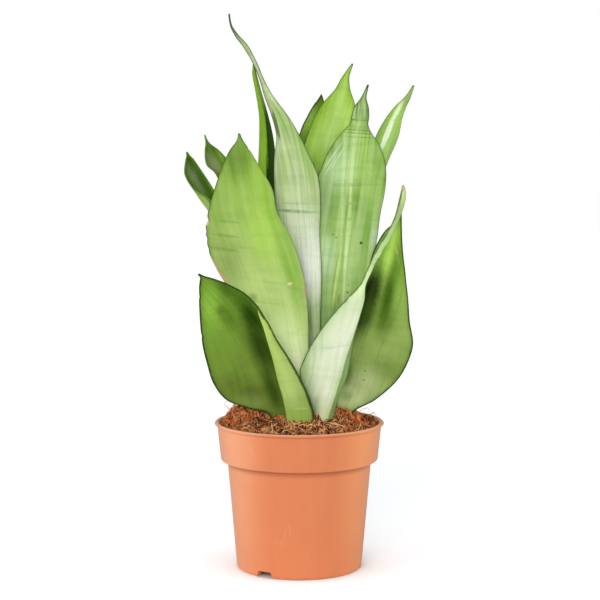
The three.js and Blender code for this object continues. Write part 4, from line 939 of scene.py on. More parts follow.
def make_soil_bed():
    rings = [
        (SOIL_EDGE_RADIUS * k / SOIL_RINGS, SOIL_EDGE_LEVEL) for k in range(SOIL_RINGS + 1)
    ]
    bed = spun("soil_bed", rings + SOIL_SIDE, SOIL_STEPS)
    for vertex in bed.data.vertices:
        if abs(vertex.co.z - SOIL_EDGE_LEVEL * MM) < WELD * MM:
            vertex.co.z = soil_height(vertex.co.x / MM, vertex.co.y / MM) * MM
    bed.data.update()
    smooth(bed, SOIL_SMOOTHING)
    return bed


def leaf_feet():
    """Each leaf's section where it leaves the soil, as pairs of points"""
    sides = []
    for leaf in LEAVES.values():
        x0, y0, _, x1, y1, _, x2, y2, _ = leaf["rows"][SOIL_ROW]
        points = [Vector((x + CLUMP_OFFSET, y)) for x, y in ((x0, y0), (x1, y1), (x2, y2))]
        sides += [(points[0], points[1]), (points[1], points[2])]
    return sides


def clear_of_leaves(x, y, feet, clearance):
    """Whether a place on the soil is far enough from every leaf"""
    place = Vector((x, y))
    for start, end in feet:
        run = end - start
        share = max(0, min(1, (place - start).dot(run) / run.length_squared))
        if (start + run * share - place).length < clearance:
            return False
    return True


def make_crumbs(name, count, smallest, largest, seed, feet):
    """Lumps of peat and coir dust lying on the soil, all in one piece"""
    draw = random.Random(seed)
    deselect()
    bpy.ops.mesh.primitive_ico_sphere_add(subdivisions=2, radius=MM)
    pattern = new_piece(name + "_pattern")
    for vertex in pattern.data.vertices:
        lump = noise.noise(vertex.co / MM * CRUMB_DENT_SCALE + Vector((seed, 0, 0)))
        vertex.co *= 1 + CRUMB_DENTS * lump
    crumbs = []
    while len(crumbs) < count:
        radius = (SOIL_EDGE_RADIUS - largest) * math.sqrt(draw.random())
        angle = draw.uniform(0, 2 * math.pi)
        x, y = radius * math.cos(angle), radius * math.sin(angle)
        size = draw.uniform(smallest, largest)
        turn = Euler([draw.uniform(0, CRUMB_TURN) for _ in range(3)]).to_matrix().to_4x4()
        if not clear_of_leaves(x, y, feet, LEAF_CLEARANCE + size / 2):
            continue
        crumb = copy_of(pattern)
        narrow = draw.uniform(CRUMB_NARROWEST, 1)
        flat = Matrix.Diagonal((size, size * narrow, size * CRUMB_FLATNESS, 1))
        height = soil_height(x, y) + CRUMB_RISE * size
        place = Matrix.Translation(Vector((x, y, height)) * MM)
        crumb.data.transform(place @ turn @ flat)
        crumbs.append(crumb)
    pick(pattern)
    bpy.ops.object.delete()
    heap = join(crumbs, name)
    smooth(heap, CRUMB_SMOOTHING)
    return heap


def strand_points(draw, place, heading, length, curl, lift):
    """Points of one strand in millimetres that lies on the soil and arches over it"""
    x, y = place
    points = []
    for k in range(STRAND_STEPS):
        share = k / (STRAND_STEPS - 1)
        rise = lift * math.sin(math.pi * share) + STRAND_WOBBLE * draw.uniform(-1, 1)
        points.append((x, y, soil_height(x, y) + STRAND_LIFT + rise))
        heading += curl * draw.uniform(-1, 1)
        x += length / STRAND_STEPS * math.cos(heading)
        y += length / STRAND_STEPS * math.sin(heading)
    return points


def inside_pot(points):
    return all(math.hypot(x, y) < SOIL_EDGE_RADIUS - RIM_CLEARANCE for x, y, _ in points)


def make_fibres(name, count, bunch, radius, shortest, longest, lift, seed, feet, spots, strays):
    """Strands of coir: curves with a round section, made one mesh. A share of the tufts gather
    at the spots, if there are any; strays are further strands, given point by point"""
    draw = random.Random(seed)
    strands = [list(points) for points in strays]
    while len(strands) < count + len(strays):
        reach = SOIL_EDGE_RADIUS * math.sqrt(draw.random())
        angle = draw.uniform(0, 2 * math.pi)
        if spots and draw.random() < SPOT_SHARE:
            spot = draw.choice(spots)
            x, y = draw.gauss(spot[0], SPOT_SPREAD), draw.gauss(spot[1], SPOT_SPREAD)
            reach, angle = math.hypot(x, y), math.atan2(y, x)
        heading = draw.uniform(0, 2 * math.pi)
        for _ in range(draw.randint(1, bunch)):
            spread_x, spread_y = draw.gauss(0, TUFT_SPREAD), draw.gauss(0, TUFT_SPREAD)
            place = (reach * math.cos(angle) + spread_x, reach * math.sin(angle) + spread_y)
            length = draw.uniform(shortest, longest)
            arch = lift * draw.random() ** 2
            lean = heading + draw.gauss(0, TUFT_LEAN)
            points = strand_points(draw, place, lean, length, STRAND_CURL, arch)
            clear = all(clear_of_leaves(x, y, feet, LEAF_CLEARANCE) for x, y, _ in points)
            if clear and inside_pot(points):
                strands.append(points)
    curve = bpy.data.curves.new(name, "CURVE")
    curve.dimensions = "3D"
    curve.bevel_depth = radius * MM
    curve.bevel_resolution = 1
    curve.use_fill_caps = True
    for points in strands:
        spline = curve.splines.new("POLY")
        spline.points.add(len(points) - 1)
        for k, (x, y, z) in enumerate(points):
            spline.points[k].co = (x * MM, y * MM, z * MM, 1)
            full = 1 - abs(2 * k / (len(points) - 1) - 1) ** STRAND_TAPER
            spline.points[k].radius = STRAND_END + (1 - STRAND_END) * full
    fibres = bpy.data.objects.new(name, curve)
    bpy.context.scene.collection.objects.link(fibres)
    pick(fibres)
    bpy.ops.object.convert(target="MESH")
    fibres = new_piece(name)
    bpy.ops.object.mode_set(mode="EDIT")
    bpy.ops.mesh.select_all(action="SELECT")
    bpy.ops.mesh.remove_doubles(threshold=STRAND_WELD * MM)
    bpy.ops.object.mode_set(mode="OBJECT")
    bpy.ops.object.shade_smooth()
    return fibres


def smooth_rail(points, share):
    """Point on the smooth curve through a list of points, at 0 the first and at 1 the last"""
    place = share * (len(points) - 1)
    i = min(int(place), len(points) - 2)
    t = place - i
    start, end = points[i], points[i + 1]
    before = points[i - 1] if i > 0 else 2 * start - end
    after = points[i + 2] if i + 2 < len(points) else 2 * end - start
    leave = (end - before) / 2
    arrive = (after - start) / 2
    bow = 3 * (end - start) - 2 * leave - arrive
    swing = 2 * (start - end) + leave + arrive
    return start + leave * t + bow * t ** 2 + swing * t ** 3


def leaf_rails(leaf):
    """First edge, midrib and other edge of a leaf, as lists of points in millimetres"""
    slant = leaf.get("slant", 0)
    rails = []
    for start in (EDGE, MIDRIB, OTHER_EDGE):
        rail = []
        for row in leaf["rows"]:
            x, y, z = row[start:start + 3]
            rail.append(Vector((x + CLUMP_OFFSET, y + slant * (x - row[MIDRIB]), z)))
        rails.append(rail)
    return rails


def row_shares(rails):
    """Places of the cross rows along a leaf, about a cell apart"""
    middle = rails[1]
    last = len(middle) - 1
    shares = []
    for i in range(last):
        steps = max(2, round((middle[i + 1] - middle[i]).length / CELL_LENGTH))
        shares += [(i + k / steps) / last for k in range(steps)]
    return shares + [1]


def column_places():
    """Places across a blade, -1 to 1, with a narrow strip at each margin"""
    inner = CELLS_ACROSS - 2
    middle = [MARGIN_STRIP * (2 * k / inner - 1) for k in range(inner + 1)]
    return [-1] + middle + [1]


def rib_thickness(share, half, sag):
    """Thickness at the midrib, no more than a tight fold leaves room for"""
    depth = max(sag.length, LEAST_SAG)
    bend_radius = half.cross(sag).length_squared / (2 * depth ** 3)
    if share < THICK_SHARE:
        rib = BASE_THICKNESS + (BLADE_THICKNESS - BASE_THICKNESS) * share / THICK_SHARE
    else:
        thin = (share - THICK_SHARE) / (1 - THICK_SHARE)
        rib = BLADE_THICKNESS + (TIP_THICKNESS - BLADE_THICKNESS) * thin
    return max(MARGIN_THICKNESS, min(rib, FOLD_THICKNESS * bend_radius))


def bell(distance, width):
    """1 at no distance, falling off smoothly over the width"""
    return math.exp(-(distance / width) ** 2)


def make_leaf(node, leaf, seed):
    """Blade between its three rails, with a rounded margin, ripples, nicks and rings"""
    rails = leaf_rails(leaf)
    shares = row_shares(rails)
    columns = column_places()
    deselect()
    bpy.ops.mesh.primitive_grid_add(
        x_subdivisions=len(columns) - 1, y_subdivisions=len(shares) - 1, size=2,
        calc_uvs=True, location=(0, 0, 0),
    )
    blade = new_piece(node.replace("leaf", "blade"))
    mesh = blade.data
    weights = blade.vertex_groups.new(name="thickness")
    places, margins, flat = [], [], {}
    walked, last_middle = 0, rails[1][0]
    for i, share in enumerate(shares):
        left, middle, right = (smooth_rail(rail, share) for rail in rails)
        half = (right - left) / 2
        sag = (left + right) / 2 - middle
        folded = min(share / THICK_SHARE, 1)
        power = ROUND_FOLD + (leaf.get("fold", ROUND_FOLD) - ROUND_FOLD) * folded
        rib = rib_thickness(share, half, sag)
        walked += (middle - last_middle).length
        last_middle = middle
        for j, u in enumerate(columns):
            point = middle + sag * abs(u) ** power + half * u
            margin = (1 - abs(u)) * half.length
            for side, height, depth, length in NICKS.get(node, ()):
                bite = depth * bell(point.z - height, length) * max(0, side * u) ** NICK_SHARPNESS
                point -= half.normalized() * side * bite
            thick = MARGIN_THICKNESS + (rib - MARGIN_THICKNESS) * (1 - u * u)
            if abs(u) == 1:
                thick *= ROUNDED_MARGIN
            index = i * len(columns) + j
            places.append(point)
            weights.add([index], thick / BASE_THICKNESS, "REPLACE")
            margins.append(margin)
            flat[index] = (u * half.length * UV_SCALE, walked * UV_SCALE)
    for vertex, place in zip(mesh.vertices, places):
        vertex.co = place * MM
    mesh.uv_layers[0].name = BLADE_MAP
    for loop, uv in zip(mesh.loops, mesh.uv_layers[0].data):
        uv.uv = flat[loop.vertex_index]
    mesh.attributes.new(EDGE_DISTANCE, "FLOAT", "POINT")
    mesh.attributes[EDGE_DISTANCE].data.foreach_set("value", margins)
    mesh.update()
    ripple_blade(node, mesh, flat, margins, seed)
    wall = blade.modifiers.new("wall", "SOLIDIFY")
    wall.thickness = BASE_THICKNESS * MM
    wall.offset = 0
    wall.vertex_group = "thickness"
    wall.material_offset = 1
    wall.material_offset_rim = 2
    return blade, wall


def ripple_blade(node, mesh, flat, margins, seed):
    """Shallow lengthwise waves and growth rings, pushed along the blade's own normals"""
    normals = [vertex.normal.copy() for vertex in mesh.vertices]
    for vertex, normal in zip(mesh.vertices, normals):
        across, along = flat[vertex.index]
        across, along = across / UV_SCALE, along / UV_SCALE
        wave = noise.noise(Vector((across / RIPPLE_WIDTH, along / RIPPLE_LENGTH, seed)))
        push = RIPPLE * wave
        margin = max(0, 1 - margins[vertex.index] / MARGIN_WAVE_REACH)
        wave = noise.noise(Vector((along / MARGIN_WAVE_LENGTH, MARGIN_WAVE_SLICE, seed)))
        push += MARGIN_WAVE * margin * wave
        for height, depth in RINGS.get(node, ()):
            bow = RING_BOW * across * across
            push += depth * bell(vertex.co.z / MM - height - bow, RING_WIDTH)
        risen = max(0, min(1, (vertex.co.z / MM - LEAF_FOOT) / RIPPLE_FADE))
        vertex.co += normal * push * risen * MM
    mesh.update()


def srgb(red, green, blue):
    """Linear colour from 0 to 255 values, by the standard curve of screens"""
    def channel(value):
        share = value / 255
        return share / 12.92 if share <= 0.04045 else ((share + 0.055) / 1.055) ** 2.4
    return (channel(red), channel(green), channel(blue), 1)


def plug(tree, source, socket):
    """Link a source to a socket, or set the socket where the source is a plain value"""
    if hasattr(source, "is_output"):
        tree.links.new(source, socket)
    else:
        socket.default_value = source


def calc(tree, operation, *values):
    made = tree.nodes.new("ShaderNodeMath")
    made.operation = operation
    for value, socket in zip(values, made.inputs):
        plug(tree, value, socket)
    return made.outputs[0]


def ramp(tree, value, start, end, low=0.0, high=1.0):
    """Smooth step of a value from low to high between start and end"""
    made = tree.nodes.new("ShaderNodeMapRange")
    made.interpolation_type = "SMOOTHSTEP"
    for source, label in (
        (value, "Value"), (start, "From Min"), (end, "From Max"), (low, "To Min"), (high, "To Max"),
    ):
        plug(tree, source, made.inputs[label])
    return made.outputs[0]


# Places of the colour sockets on a mix node
UNDER_SOCKET = 6
OVER_SOCKET = 7
MIXED_SOCKET = 2


def tint(tree, mask, under, over, kind="MIX"):
    """One colour over another by a mask"""
    made = tree.nodes.new("ShaderNodeMix")
    made.data_type = "RGBA"
    made.blend_type = kind
    made.clamp_factor = True
    plug(tree, mask, made.inputs["Factor"])
    plug(tree, under, made.inputs[UNDER_SOCKET])
    plug(tree, over, made.inputs[OVER_SOCKET])
    return made.outputs[MIXED_SOCKET]


def lay(tree, colour, mask, shade, strength):
    """Lay a shade over a colour by a mask and a strength"""
    return tint(tree, calc(tree, "MULTIPLY", mask, strength), colour, srgb(*shade))


# Finer layers of a noise over its first one, and strength of each against the one before
SMOOTH_DETAIL = 1.0
DETAIL = 2.0
FINE_DETAIL = 3.0
ROUGHNESS = 0.5


def speckle(tree, vector, scale=1.0, detail=DETAIL, roughness=ROUGHNESS):
    """Noise around the middle between 0 and 1"""
    made = tree.nodes.new("ShaderNodeTexNoise")
    plug(tree, vector, made.inputs["Vector"])
    plug(tree, scale, made.inputs["Scale"])
    made.inputs["Detail"].default_value = detail
    made.inputs["Roughness"].default_value = roughness
    return made.outputs["Fac"]


def object_place(tree):
    return tree.nodes.new("ShaderNodeTexCoord").outputs["Object"]


def split(tree, vector):
    made = tree.nodes.new("ShaderNodeSeparateXYZ")
    plug(tree, vector, made.inputs[0])
    return made.outputs


def combine(tree, *values):
    made = tree.nodes.new("ShaderNodeCombineXYZ")
    for value, socket in zip(values, made.inputs):
        plug(tree, value, socket)
    return made.outputs[0]


def new_group(name, inputs, outputs):
    """Empty shader group whose inputs and outputs are plain numbers"""
    tree = bpy.data.node_groups.new(name, "ShaderNodeTree")
    for way, labels in (("INPUT", inputs), ("OUTPUT", outputs)):
        for label in labels:
            tree.interface.new_socket(label, in_out=way, socket_type="NodeSocketFloat")
    return tree, tree.nodes.new("NodeGroupInput").outputs, tree.nodes.new("NodeGroupOutput").inputs


def use(tree, group, **values):
    """Place a group with its own values, and give its outputs"""
    made = tree.nodes.new("ShaderNodeGroup")
    made.node_tree = group
    for label, value in values.items():
        plug(tree, value, made.inputs[label.replace("_", " ").capitalize()])
    return made.outputs


def flat_place(tree):
    """Place on a blade laid flat, as millimetres across and along"""
    made = tree.nodes.new("ShaderNodeUVMap")
    made.uv_map = BLADE_MAP
    across, along, _ = split(tree, made.outputs[0])
    return calc(tree, "MULTIPLY", across, 1 / UV_SCALE), calc(tree, "MULTIPLY", along, 1 / UV_SCALE)


# Patterns. A range is the part of a noise, or of a length, over which a mask goes from 0 to 1.
NOISE_MIDDLE = 0.5
STREAK_ALONG = 0.02
STREAK_RANGE = (0.42, 0.7)
BROAD_ACROSS = 0.24
BROAD_ALONG = 0.011
BROAD_RANGE = (0.3, 0.7)
FRAY = 0.5
FRAY_ACROSS = 0.9
FRAY_ALONG = 0.03
BAND_ACROSS = 0.035
BAND_ROUGHNESS = 0.6
BAND_RANGE = (0.47, 0.66)
RAGGED_SCALE = 420.0
WANDER = 0.5
WANDER_SCALE = 260.0
LINE_START = 0.5
LINE_END = 1.7
HALO_END = 2.0
MOTTLE_RANGE = (0.32, 0.68)

# Seeds of the patterns: a leaf's number times one of these, for each side and for the rim
OUTER_SEED = 1.7
INNER_SEED = 2.3
RIM_SEED = 1.1

# Relief of a blade's skin: cells in each millimetre across and along, and height
GROOVES = (1.1, 0.02, 0.5)
RIBS = (0.3, 0.008, 1.2)
PORE_SCALE = 1500.0
PORE_HEIGHT = 0.25


def drawn_out(tree, across, along, across_scale, along_scale, seed):
    """Place on a blade for a noise that is longer one way than the other"""
    across = calc(tree, "MULTIPLY", across, across_scale)
    along = calc(tree, "MULTIPLY", along, along_scale)
    return combine(tree, across, along, seed)


def streaks_group():
    """Lengthwise streaks of a blade: fine fibres and broad bands of tone, 0 to 1"""
    tree, given, put = new_group("lengthwise_streaks", ["Seed", "Spacing"], ["Fine", "Broad"])
    across, along = flat_place(tree)
    across = calc(tree, "DIVIDE", across, given["Spacing"])
    fine = combine(tree, across, calc(tree, "MULTIPLY", along, STREAK_ALONG), given["Seed"])
    broad = drawn_out(tree, across, along, BROAD_ACROSS, BROAD_ALONG, given["Seed"])
    plug(tree, ramp(tree, speckle(tree, fine, detail=FINE_DETAIL), *STREAK_RANGE), put["Fine"])
    plug(tree, ramp(tree, speckle(tree, broad, detail=SMOOTH_DETAIL), *BROAD_RANGE), put["Broad"])
    return tree


def bands_group():
    """Faint cross bands of a blade with frayed edges"""
    tree, given, put = new_group("cross_bands", ["Seed", "Pitch"], ["Bands"])
    across, along = flat_place(tree)
    fibres = drawn_out(tree, across, along, FRAY_ACROSS, FRAY_ALONG, given["Seed"])
    fray = calc(tree, "SUBTRACT", speckle(tree, fibres), NOISE_MIDDLE)
    fray = calc(tree, "MULTIPLY", fray, FRAY)
    height = calc(tree, "ADD", calc(tree, "DIVIDE", along, given["Pitch"]), fray)
    wide = combine(tree, calc(tree, "MULTIPLY", across, BAND_ACROSS), height, given["Seed"])
    cloud = speckle(tree, wide, roughness=BAND_ROUGHNESS)
    plug(tree, ramp(tree, cloud, *BAND_RANGE), put["Bands"])
    return tree


def patch_group():
    """Soft oval patch on the front view of the plant: centre and reach in metres, turn in
    radians"""
    tree, given, put = new_group(
        "soft_patch",
        ["Centre x", "Centre z", "Reach x", "Reach z", "Turn", "Softness", "Ragged"], ["Mask"],
    )
    place = object_place(tree)
    x, _, z = split(tree, place)
    x = calc(tree, "SUBTRACT", x, given["Centre x"])
    z = calc(tree, "SUBTRACT", z, given["Centre z"])
    sine = calc(tree, "SINE", given["Turn"])
    cosine = calc(tree, "COSINE", given["Turn"])
    z_aside = calc(tree, "MULTIPLY", z, sine)
    z_ahead = calc(tree, "MULTIPLY", z, cosine)
    aside = calc(tree, "SUBTRACT", calc(tree, "MULTIPLY", x, cosine), z_aside)
    ahead = calc(tree, "ADD", calc(tree, "MULTIPLY", x, sine), z_ahead)
    aside = calc(tree, "DIVIDE", aside, given["Reach x"])
    ahead = calc(tree, "DIVIDE", ahead, given["Reach z"])
    aside = calc(tree, "MULTIPLY", aside, aside)
    ahead = calc(tree, "MULTIPLY", ahead, ahead)
    reach = calc(tree, "SQRT", calc(tree, "ADD", aside, ahead))
    rough = calc(tree, "SUBTRACT", speckle(tree, place, RAGGED_SCALE, FINE_DETAIL), NOISE_MIDDLE)
    reach = calc(tree, "ADD", reach, calc(tree, "MULTIPLY", rough, given["Ragged"]))
    start = calc(tree, "SUBTRACT", 1.0, given["Softness"])
    end = calc(tree, "ADD", 1.0, given["Softness"])
    plug(tree, ramp(tree, reach, start, end, 1.0, 0.0), put["Mask"])
    return tree


def margin_group():
    """Bands beside a blade's margin, by the distance to it in millimetres"""
    tree, given, put = new_group("margin_bands", ["Line", "Halo"], ["Line", "Halo"])
    edge = tree.nodes.new("ShaderNodeAttribute")
    edge.attribute_name = EDGE_DISTANCE
    wander = calc(tree, "MULTIPLY", speckle(tree, object_place(tree), WANDER_SCALE), WANDER)
    wander = calc(tree, "SUBTRACT", wander, WANDER / 2)
    distance = calc(tree, "ADD", edge.outputs["Fac"], wander)
    line_start = calc(tree, "MULTIPLY", given["Line"], LINE_START)
    line_end = calc(tree, "MULTIPLY", given["Line"], LINE_END)
    halo_end = calc(tree, "MULTIPLY", given["Halo"], HALO_END)
    plug(tree, ramp(tree, distance, line_start, line_end, 1.0, 0.0), put["Line"])
    plug(tree, ramp(tree, distance, line_end, halo_end, 1.0, 0.0), put["Halo"])
    return tree


def relief_group():
    """Height of a blade's skin: fine lengthwise grooves, broad ribs and pores"""
    tree, given, put = new_group("skin_relief", ["Seed"], ["Height"])
    across, along = flat_place(tree)
    height = 0.0
    for across_scale, along_scale, rise in (GROOVES, RIBS):
        place = drawn_out(tree, across, along, across_scale, along_scale, given["Seed"])
        ridges = speckle(tree, place, detail=SMOOTH_DETAIL)
        height = calc(tree, "MULTIPLY_ADD", ridges, rise, height)
    pores = speckle(tree, object_place(tree), PORE_SCALE)
    plug(tree, calc(tree, "MULTIPLY_ADD", pores, PORE_HEIGHT, height), put["Height"])
    return tree


def mottle_group():
    """Slow change of tone over a surface, 0 to 1"""
    tree, given, put = new_group("slow_mottle", ["Size", "Seed"], ["Tone"])
    shift = tree.nodes.new("ShaderNodeVectorMath")
    shift.operation = "ADD"
    plug(tree, object_place(tree), shift.inputs[0])
    plug(tree, combine(tree, given["Seed"], 0.0, 0.0), shift.inputs[1])
    scale = calc(tree, "DIVIDE", 1.0, given["Size"])
    cloud = speckle(tree, shift.outputs[0], scale)
    plug(tree, ramp(tree, cloud, *MOTTLE_RANGE), put["Tone"])
    return tree


STREAKS = streaks_group()
BANDS = bands_group()
PATCH = patch_group()
MARGIN = margin_group()
RELIEF = relief_group()
MOTTLE = mottle_group()


def new_material(name, specular):
    material = bpy.data.materials.new(name)
    material.use_nodes = True
    tree = material.node_tree
    shader = tree.nodes["Principled BSDF"]
    shader.inputs["Specular IOR Level"].default_value = specular
    return material, tree, shader


def emboss(tree, shader, height, strength, distance):
    """Bump the surface by a height, up to a distance in millimetres"""
    made = tree.nodes.new("ShaderNodeBump")
    made.inputs["Strength"].default_value = strength
    made.inputs["Distance"].default_value = distance * MM
    plug(tree, height, made.inputs["Height"])
    plug(tree, made.outputs[0], shader.inputs["Normal"])


def patches_over(tree, colour, patches):
    """Lay oval patches over a colour, in their order"""
    for x, z, reach_x, reach_z, turn, softness, ragged, shade, strength in patches:
        mask = use(
            tree, PATCH, centre_x=x * MM, centre_z=z * MM, reach_x=reach_x * MM,
            reach_z=reach_z * MM, turn=math.radians(turn), softness=softness, ragged=ragged,
        )["Mask"]
        colour = lay(tree, colour, mask, shade, strength)
    return colour


# Skin of the leaves: sizes of the tones in metres, a relief is a strength and a height in
# millimetres, the far half begins and ends by its distance from the midrib in millimetres
LEAF_SPECULAR = 0.06
LEAF_ROUGHNESS = (0.45, 0.58)
LEAF_RELIEF = (0.35, 0.35)
FAR_HALF_RANGE = (0.2, 0.9)
GRAIN_SHADE = (0.42, 0.52, 0.34, 1)
BAND_SEED = 3
TONE_SIZE = 0.012
TONE_SHARE = 0.25
TONE_GAIN = (1.25, 1.2, 1.35, 1)
HALO_WIDTH = 1.3
LINE_STRENGTH = 0.95

# The thin margin of the leaves
RIM_SPECULAR = 0.3
RIM_ROUGHNESS = 0.5
RIM_PALE = (105, 135, 60)
RIM_PALE_SHARE = 0.3
RIM_TONE_SIZE = 0.006
RIM_GRAIN = 900.0
RIM_RELIEF = (0.3, 0.2)


def leaf_skin(name, look, side, seed, foot, top):
    """Skin of one side of a blade"""
    material, tree, shader = new_material(name, LEAF_SPECULAR)
    low, high, pale = look[side]
    prefix = "inner_" if side == "inner" else ""
    _, _, z = split(tree, object_place(tree))
    rise = ramp(tree, z, foot * MM, top * MM)
    colour = tint(tree, rise, srgb(*low), srgb(*high))
    colour = patches_over(tree, colour, look[prefix + "patches"])
    if "far_half" in look:
        across, _ = flat_place(tree)
        colour = lay(tree, colour, ramp(tree, across, *FAR_HALF_RANGE), *look["far_half"])
    streaks = use(tree, STREAKS, seed=seed, spacing=look["spacing"])
    colour = lay(tree, colour, streaks["Broad"], pale, look["streaks"])
    grain = calc(tree, "MULTIPLY", streaks["Fine"], look["grain"])
    colour = tint(tree, grain, colour, GRAIN_SHADE, "MULTIPLY")
    bands = use(tree, BANDS, seed=seed + BAND_SEED, pitch=look["pitch"])["Bands"]
    band_share = calc(tree, "MULTIPLY", bands, look["bands"])
    colour = tint(tree, band_share, colour, GRAIN_SHADE, "MULTIPLY")
    tone = use(tree, MOTTLE, size=TONE_SIZE, seed=seed)["Tone"]
    tone_share = calc(tree, "MULTIPLY", tone, TONE_SHARE)
    colour = tint(tree, tone_share, colour, TONE_GAIN, "MULTIPLY")
    margin = use(tree, MARGIN, line=look["line"], halo=HALO_WIDTH)
    # Halo: a darker band beside the margin, partly painted shade between the leaves
    colour = lay(tree, colour, margin["Halo"], look["edge"], look["halo_strength"])
    colour = lay(tree, colour, margin["Line"], look["edge"], LINE_STRENGTH)
    colour = patches_over(tree, colour, look[prefix + "marks"])
    plug(tree, colour, shader.inputs["Base Color"])
    roughness = ramp(tree, streaks["Fine"], 0.0, 1.0, *LEAF_ROUGHNESS)
    plug(tree, roughness, shader.inputs["Roughness"])
    height = use(tree, RELIEF, seed=seed)["Height"]
    emboss(tree, shader, height, *LEAF_RELIEF)
    return material


def leaf_rim(name, look, seed):
    """The blade's thin margin: a dark line with tan scars"""
    material, tree, shader = new_material(name, RIM_SPECULAR)
    shader.inputs["Roughness"].default_value = RIM_ROUGHNESS
    tone = use(tree, MOTTLE, size=RIM_TONE_SIZE, seed=seed)["Tone"]
    colour = lay(tree, srgb(*look["edge"]), tone, RIM_PALE, RIM_PALE_SHARE)
    colour = patches_over(tree, colour, look["marks"])
    plug(tree, colour, shader.inputs["Base Color"])
    grain = speckle(tree, object_place(tree), RIM_GRAIN, FINE_DETAIL)
    emboss(tree, shader, grain, *RIM_RELIEF)
    return material


# Plastic of the pot: ranges along x and z in metres, then colours with their strengths
POT_SPECULAR = 0.4
POT_ROUGHNESS = (0.38, 0.5)
POT_RELIEF = (0.12, 0.15)
POT_MIDDLE = (220, 129, 82)
# Painted light: a broad highlight on the pot's left side and a lighter right side
POT_LEFT_HIGHLIGHT = (252, 170, 124)
POT_LEFT_HIGHLIGHT_RANGE = (-0.018, -0.052)
POT_RIGHT_HIGHLIGHT = (255, 164, 104)
POT_RIGHT_HIGHLIGHT_RANGE = (0.02, 0.052)
CLOUD_SIZE = 0.045
CLOUD_SEED = 2.0
CLOUD_LOOK = ((212, 118, 72), 0.15)
FLOW_STRETCH = (1, 1, 0.12)
FLOW_SCALE = 160.0
FLOW_RANGE = (0.45, 0.75)
FLOW_LOOK = ((245, 170, 132), 0.06)
DUST_SCALE = 700.0
DUST_RANGE = (0.66, 0.78)
DUST_LOOK = ((190, 112, 76), 0.25)
# Painted shadow just under the band's shelf
SHELF_SHADOW_BEGIN = (0.0715, 0.0764)
SHELF_SHADOW_END = (0.0775, 0.077)
SHELF_SHADOW_LOOK = ((160, 82, 48), 0.5)
# Painted highlight along the top of the lip
LIP_HIGHLIGHT_RANGE = (0.1034, 0.1039)
LIP_HIGHLIGHT_LOOK = ((255, 214, 188), 0.5)
PLASTIC_GRAIN = 2600.0
PLASTIC_GRAIN_HEIGHT = 0.4
PLASTIC_WAVES = 220.0
POT_SCUFFS = [
    (-33, 91, 1.2, 4, -20, 0.8, 0.6, (250, 190, 158), 0.14),
    (-10.5, 31, 1, 7, 12, 0.9, 0.8, (248, 186, 150), 0.1),
    (-6.5, 36, 0.7, 4, -8, 0.8, 0.8, (248, 186, 150), 0.12),
    (-15, 27, 3, 1.6, 5, 0.9, 0.8, (248, 186, 150), 0.08),
]


def pot_plastic():
    """Satin terracotta-coloured plastic: flow marks, dust, faint scuffs, painted light on the left
    side and the right edge, a painted shadow under the band and a painted highlight on the lip"""
    material, tree, shader = new_material("terracotta_plastic", POT_SPECULAR)
    place = object_place(tree)
    x, _, z = split(tree, place)
    # Painted light: the pot's left side and right edge are made lighter
    left = ramp(tree, x, *POT_LEFT_HIGHLIGHT_RANGE)
    colour = tint(tree, left, srgb(*POT_MIDDLE), srgb(*POT_LEFT_HIGHLIGHT))
    right = ramp(tree, x, *POT_RIGHT_HIGHLIGHT_RANGE)
    colour = tint(tree, right, colour, srgb(*POT_RIGHT_HIGHLIGHT))
    clouds = use(tree, MOTTLE, size=CLOUD_SIZE, seed=CLOUD_SEED)["Tone"]
    colour = lay(tree, colour, clouds, *CLOUD_LOOK)
    stretch = tree.nodes.new("ShaderNodeMapping")
    stretch.inputs["Scale"].default_value = FLOW_STRETCH
    plug(tree, place, stretch.inputs["Vector"])
    flow = speckle(tree, stretch.outputs[0], FLOW_SCALE, FINE_DETAIL)
    flow = ramp(tree, flow, *FLOW_RANGE)
    colour = lay(tree, colour, flow, *FLOW_LOOK)
    dust = ramp(tree, speckle(tree, place, DUST_SCALE), *DUST_RANGE)
    colour = lay(tree, colour, dust, *DUST_LOOK)
    # Painted shadow just under the band
    shelf_shadow = calc(tree, "MULTIPLY", ramp(tree, z, *SHELF_SHADOW_BEGIN), ramp(tree, z, *SHELF_SHADOW_END))
    colour = lay(tree, colour, shelf_shadow, *SHELF_SHADOW_LOOK)
    colour = patches_over(tree, colour, POT_SCUFFS)
    # Painted highlight along the lip's top edge
    colour = lay(tree, colour, ramp(tree, z, *LIP_HIGHLIGHT_RANGE), *LIP_HIGHLIGHT_LOOK)
    plug(tree, colour, shader.inputs["Base Color"])
    plug(tree, ramp(tree, flow, 0.0, 1.0, *POT_ROUGHNESS), shader.inputs["Roughness"])
    grain = speckle(tree, place, PLASTIC_GRAIN)
    waves = speckle(tree, stretch.outputs[0], PLASTIC_WAVES)
    grain = calc(tree, "MULTIPLY_ADD", grain, PLASTIC_GRAIN_HEIGHT, waves)
    emboss(tree, shader, grain, *POT_RELIEF)
    return material


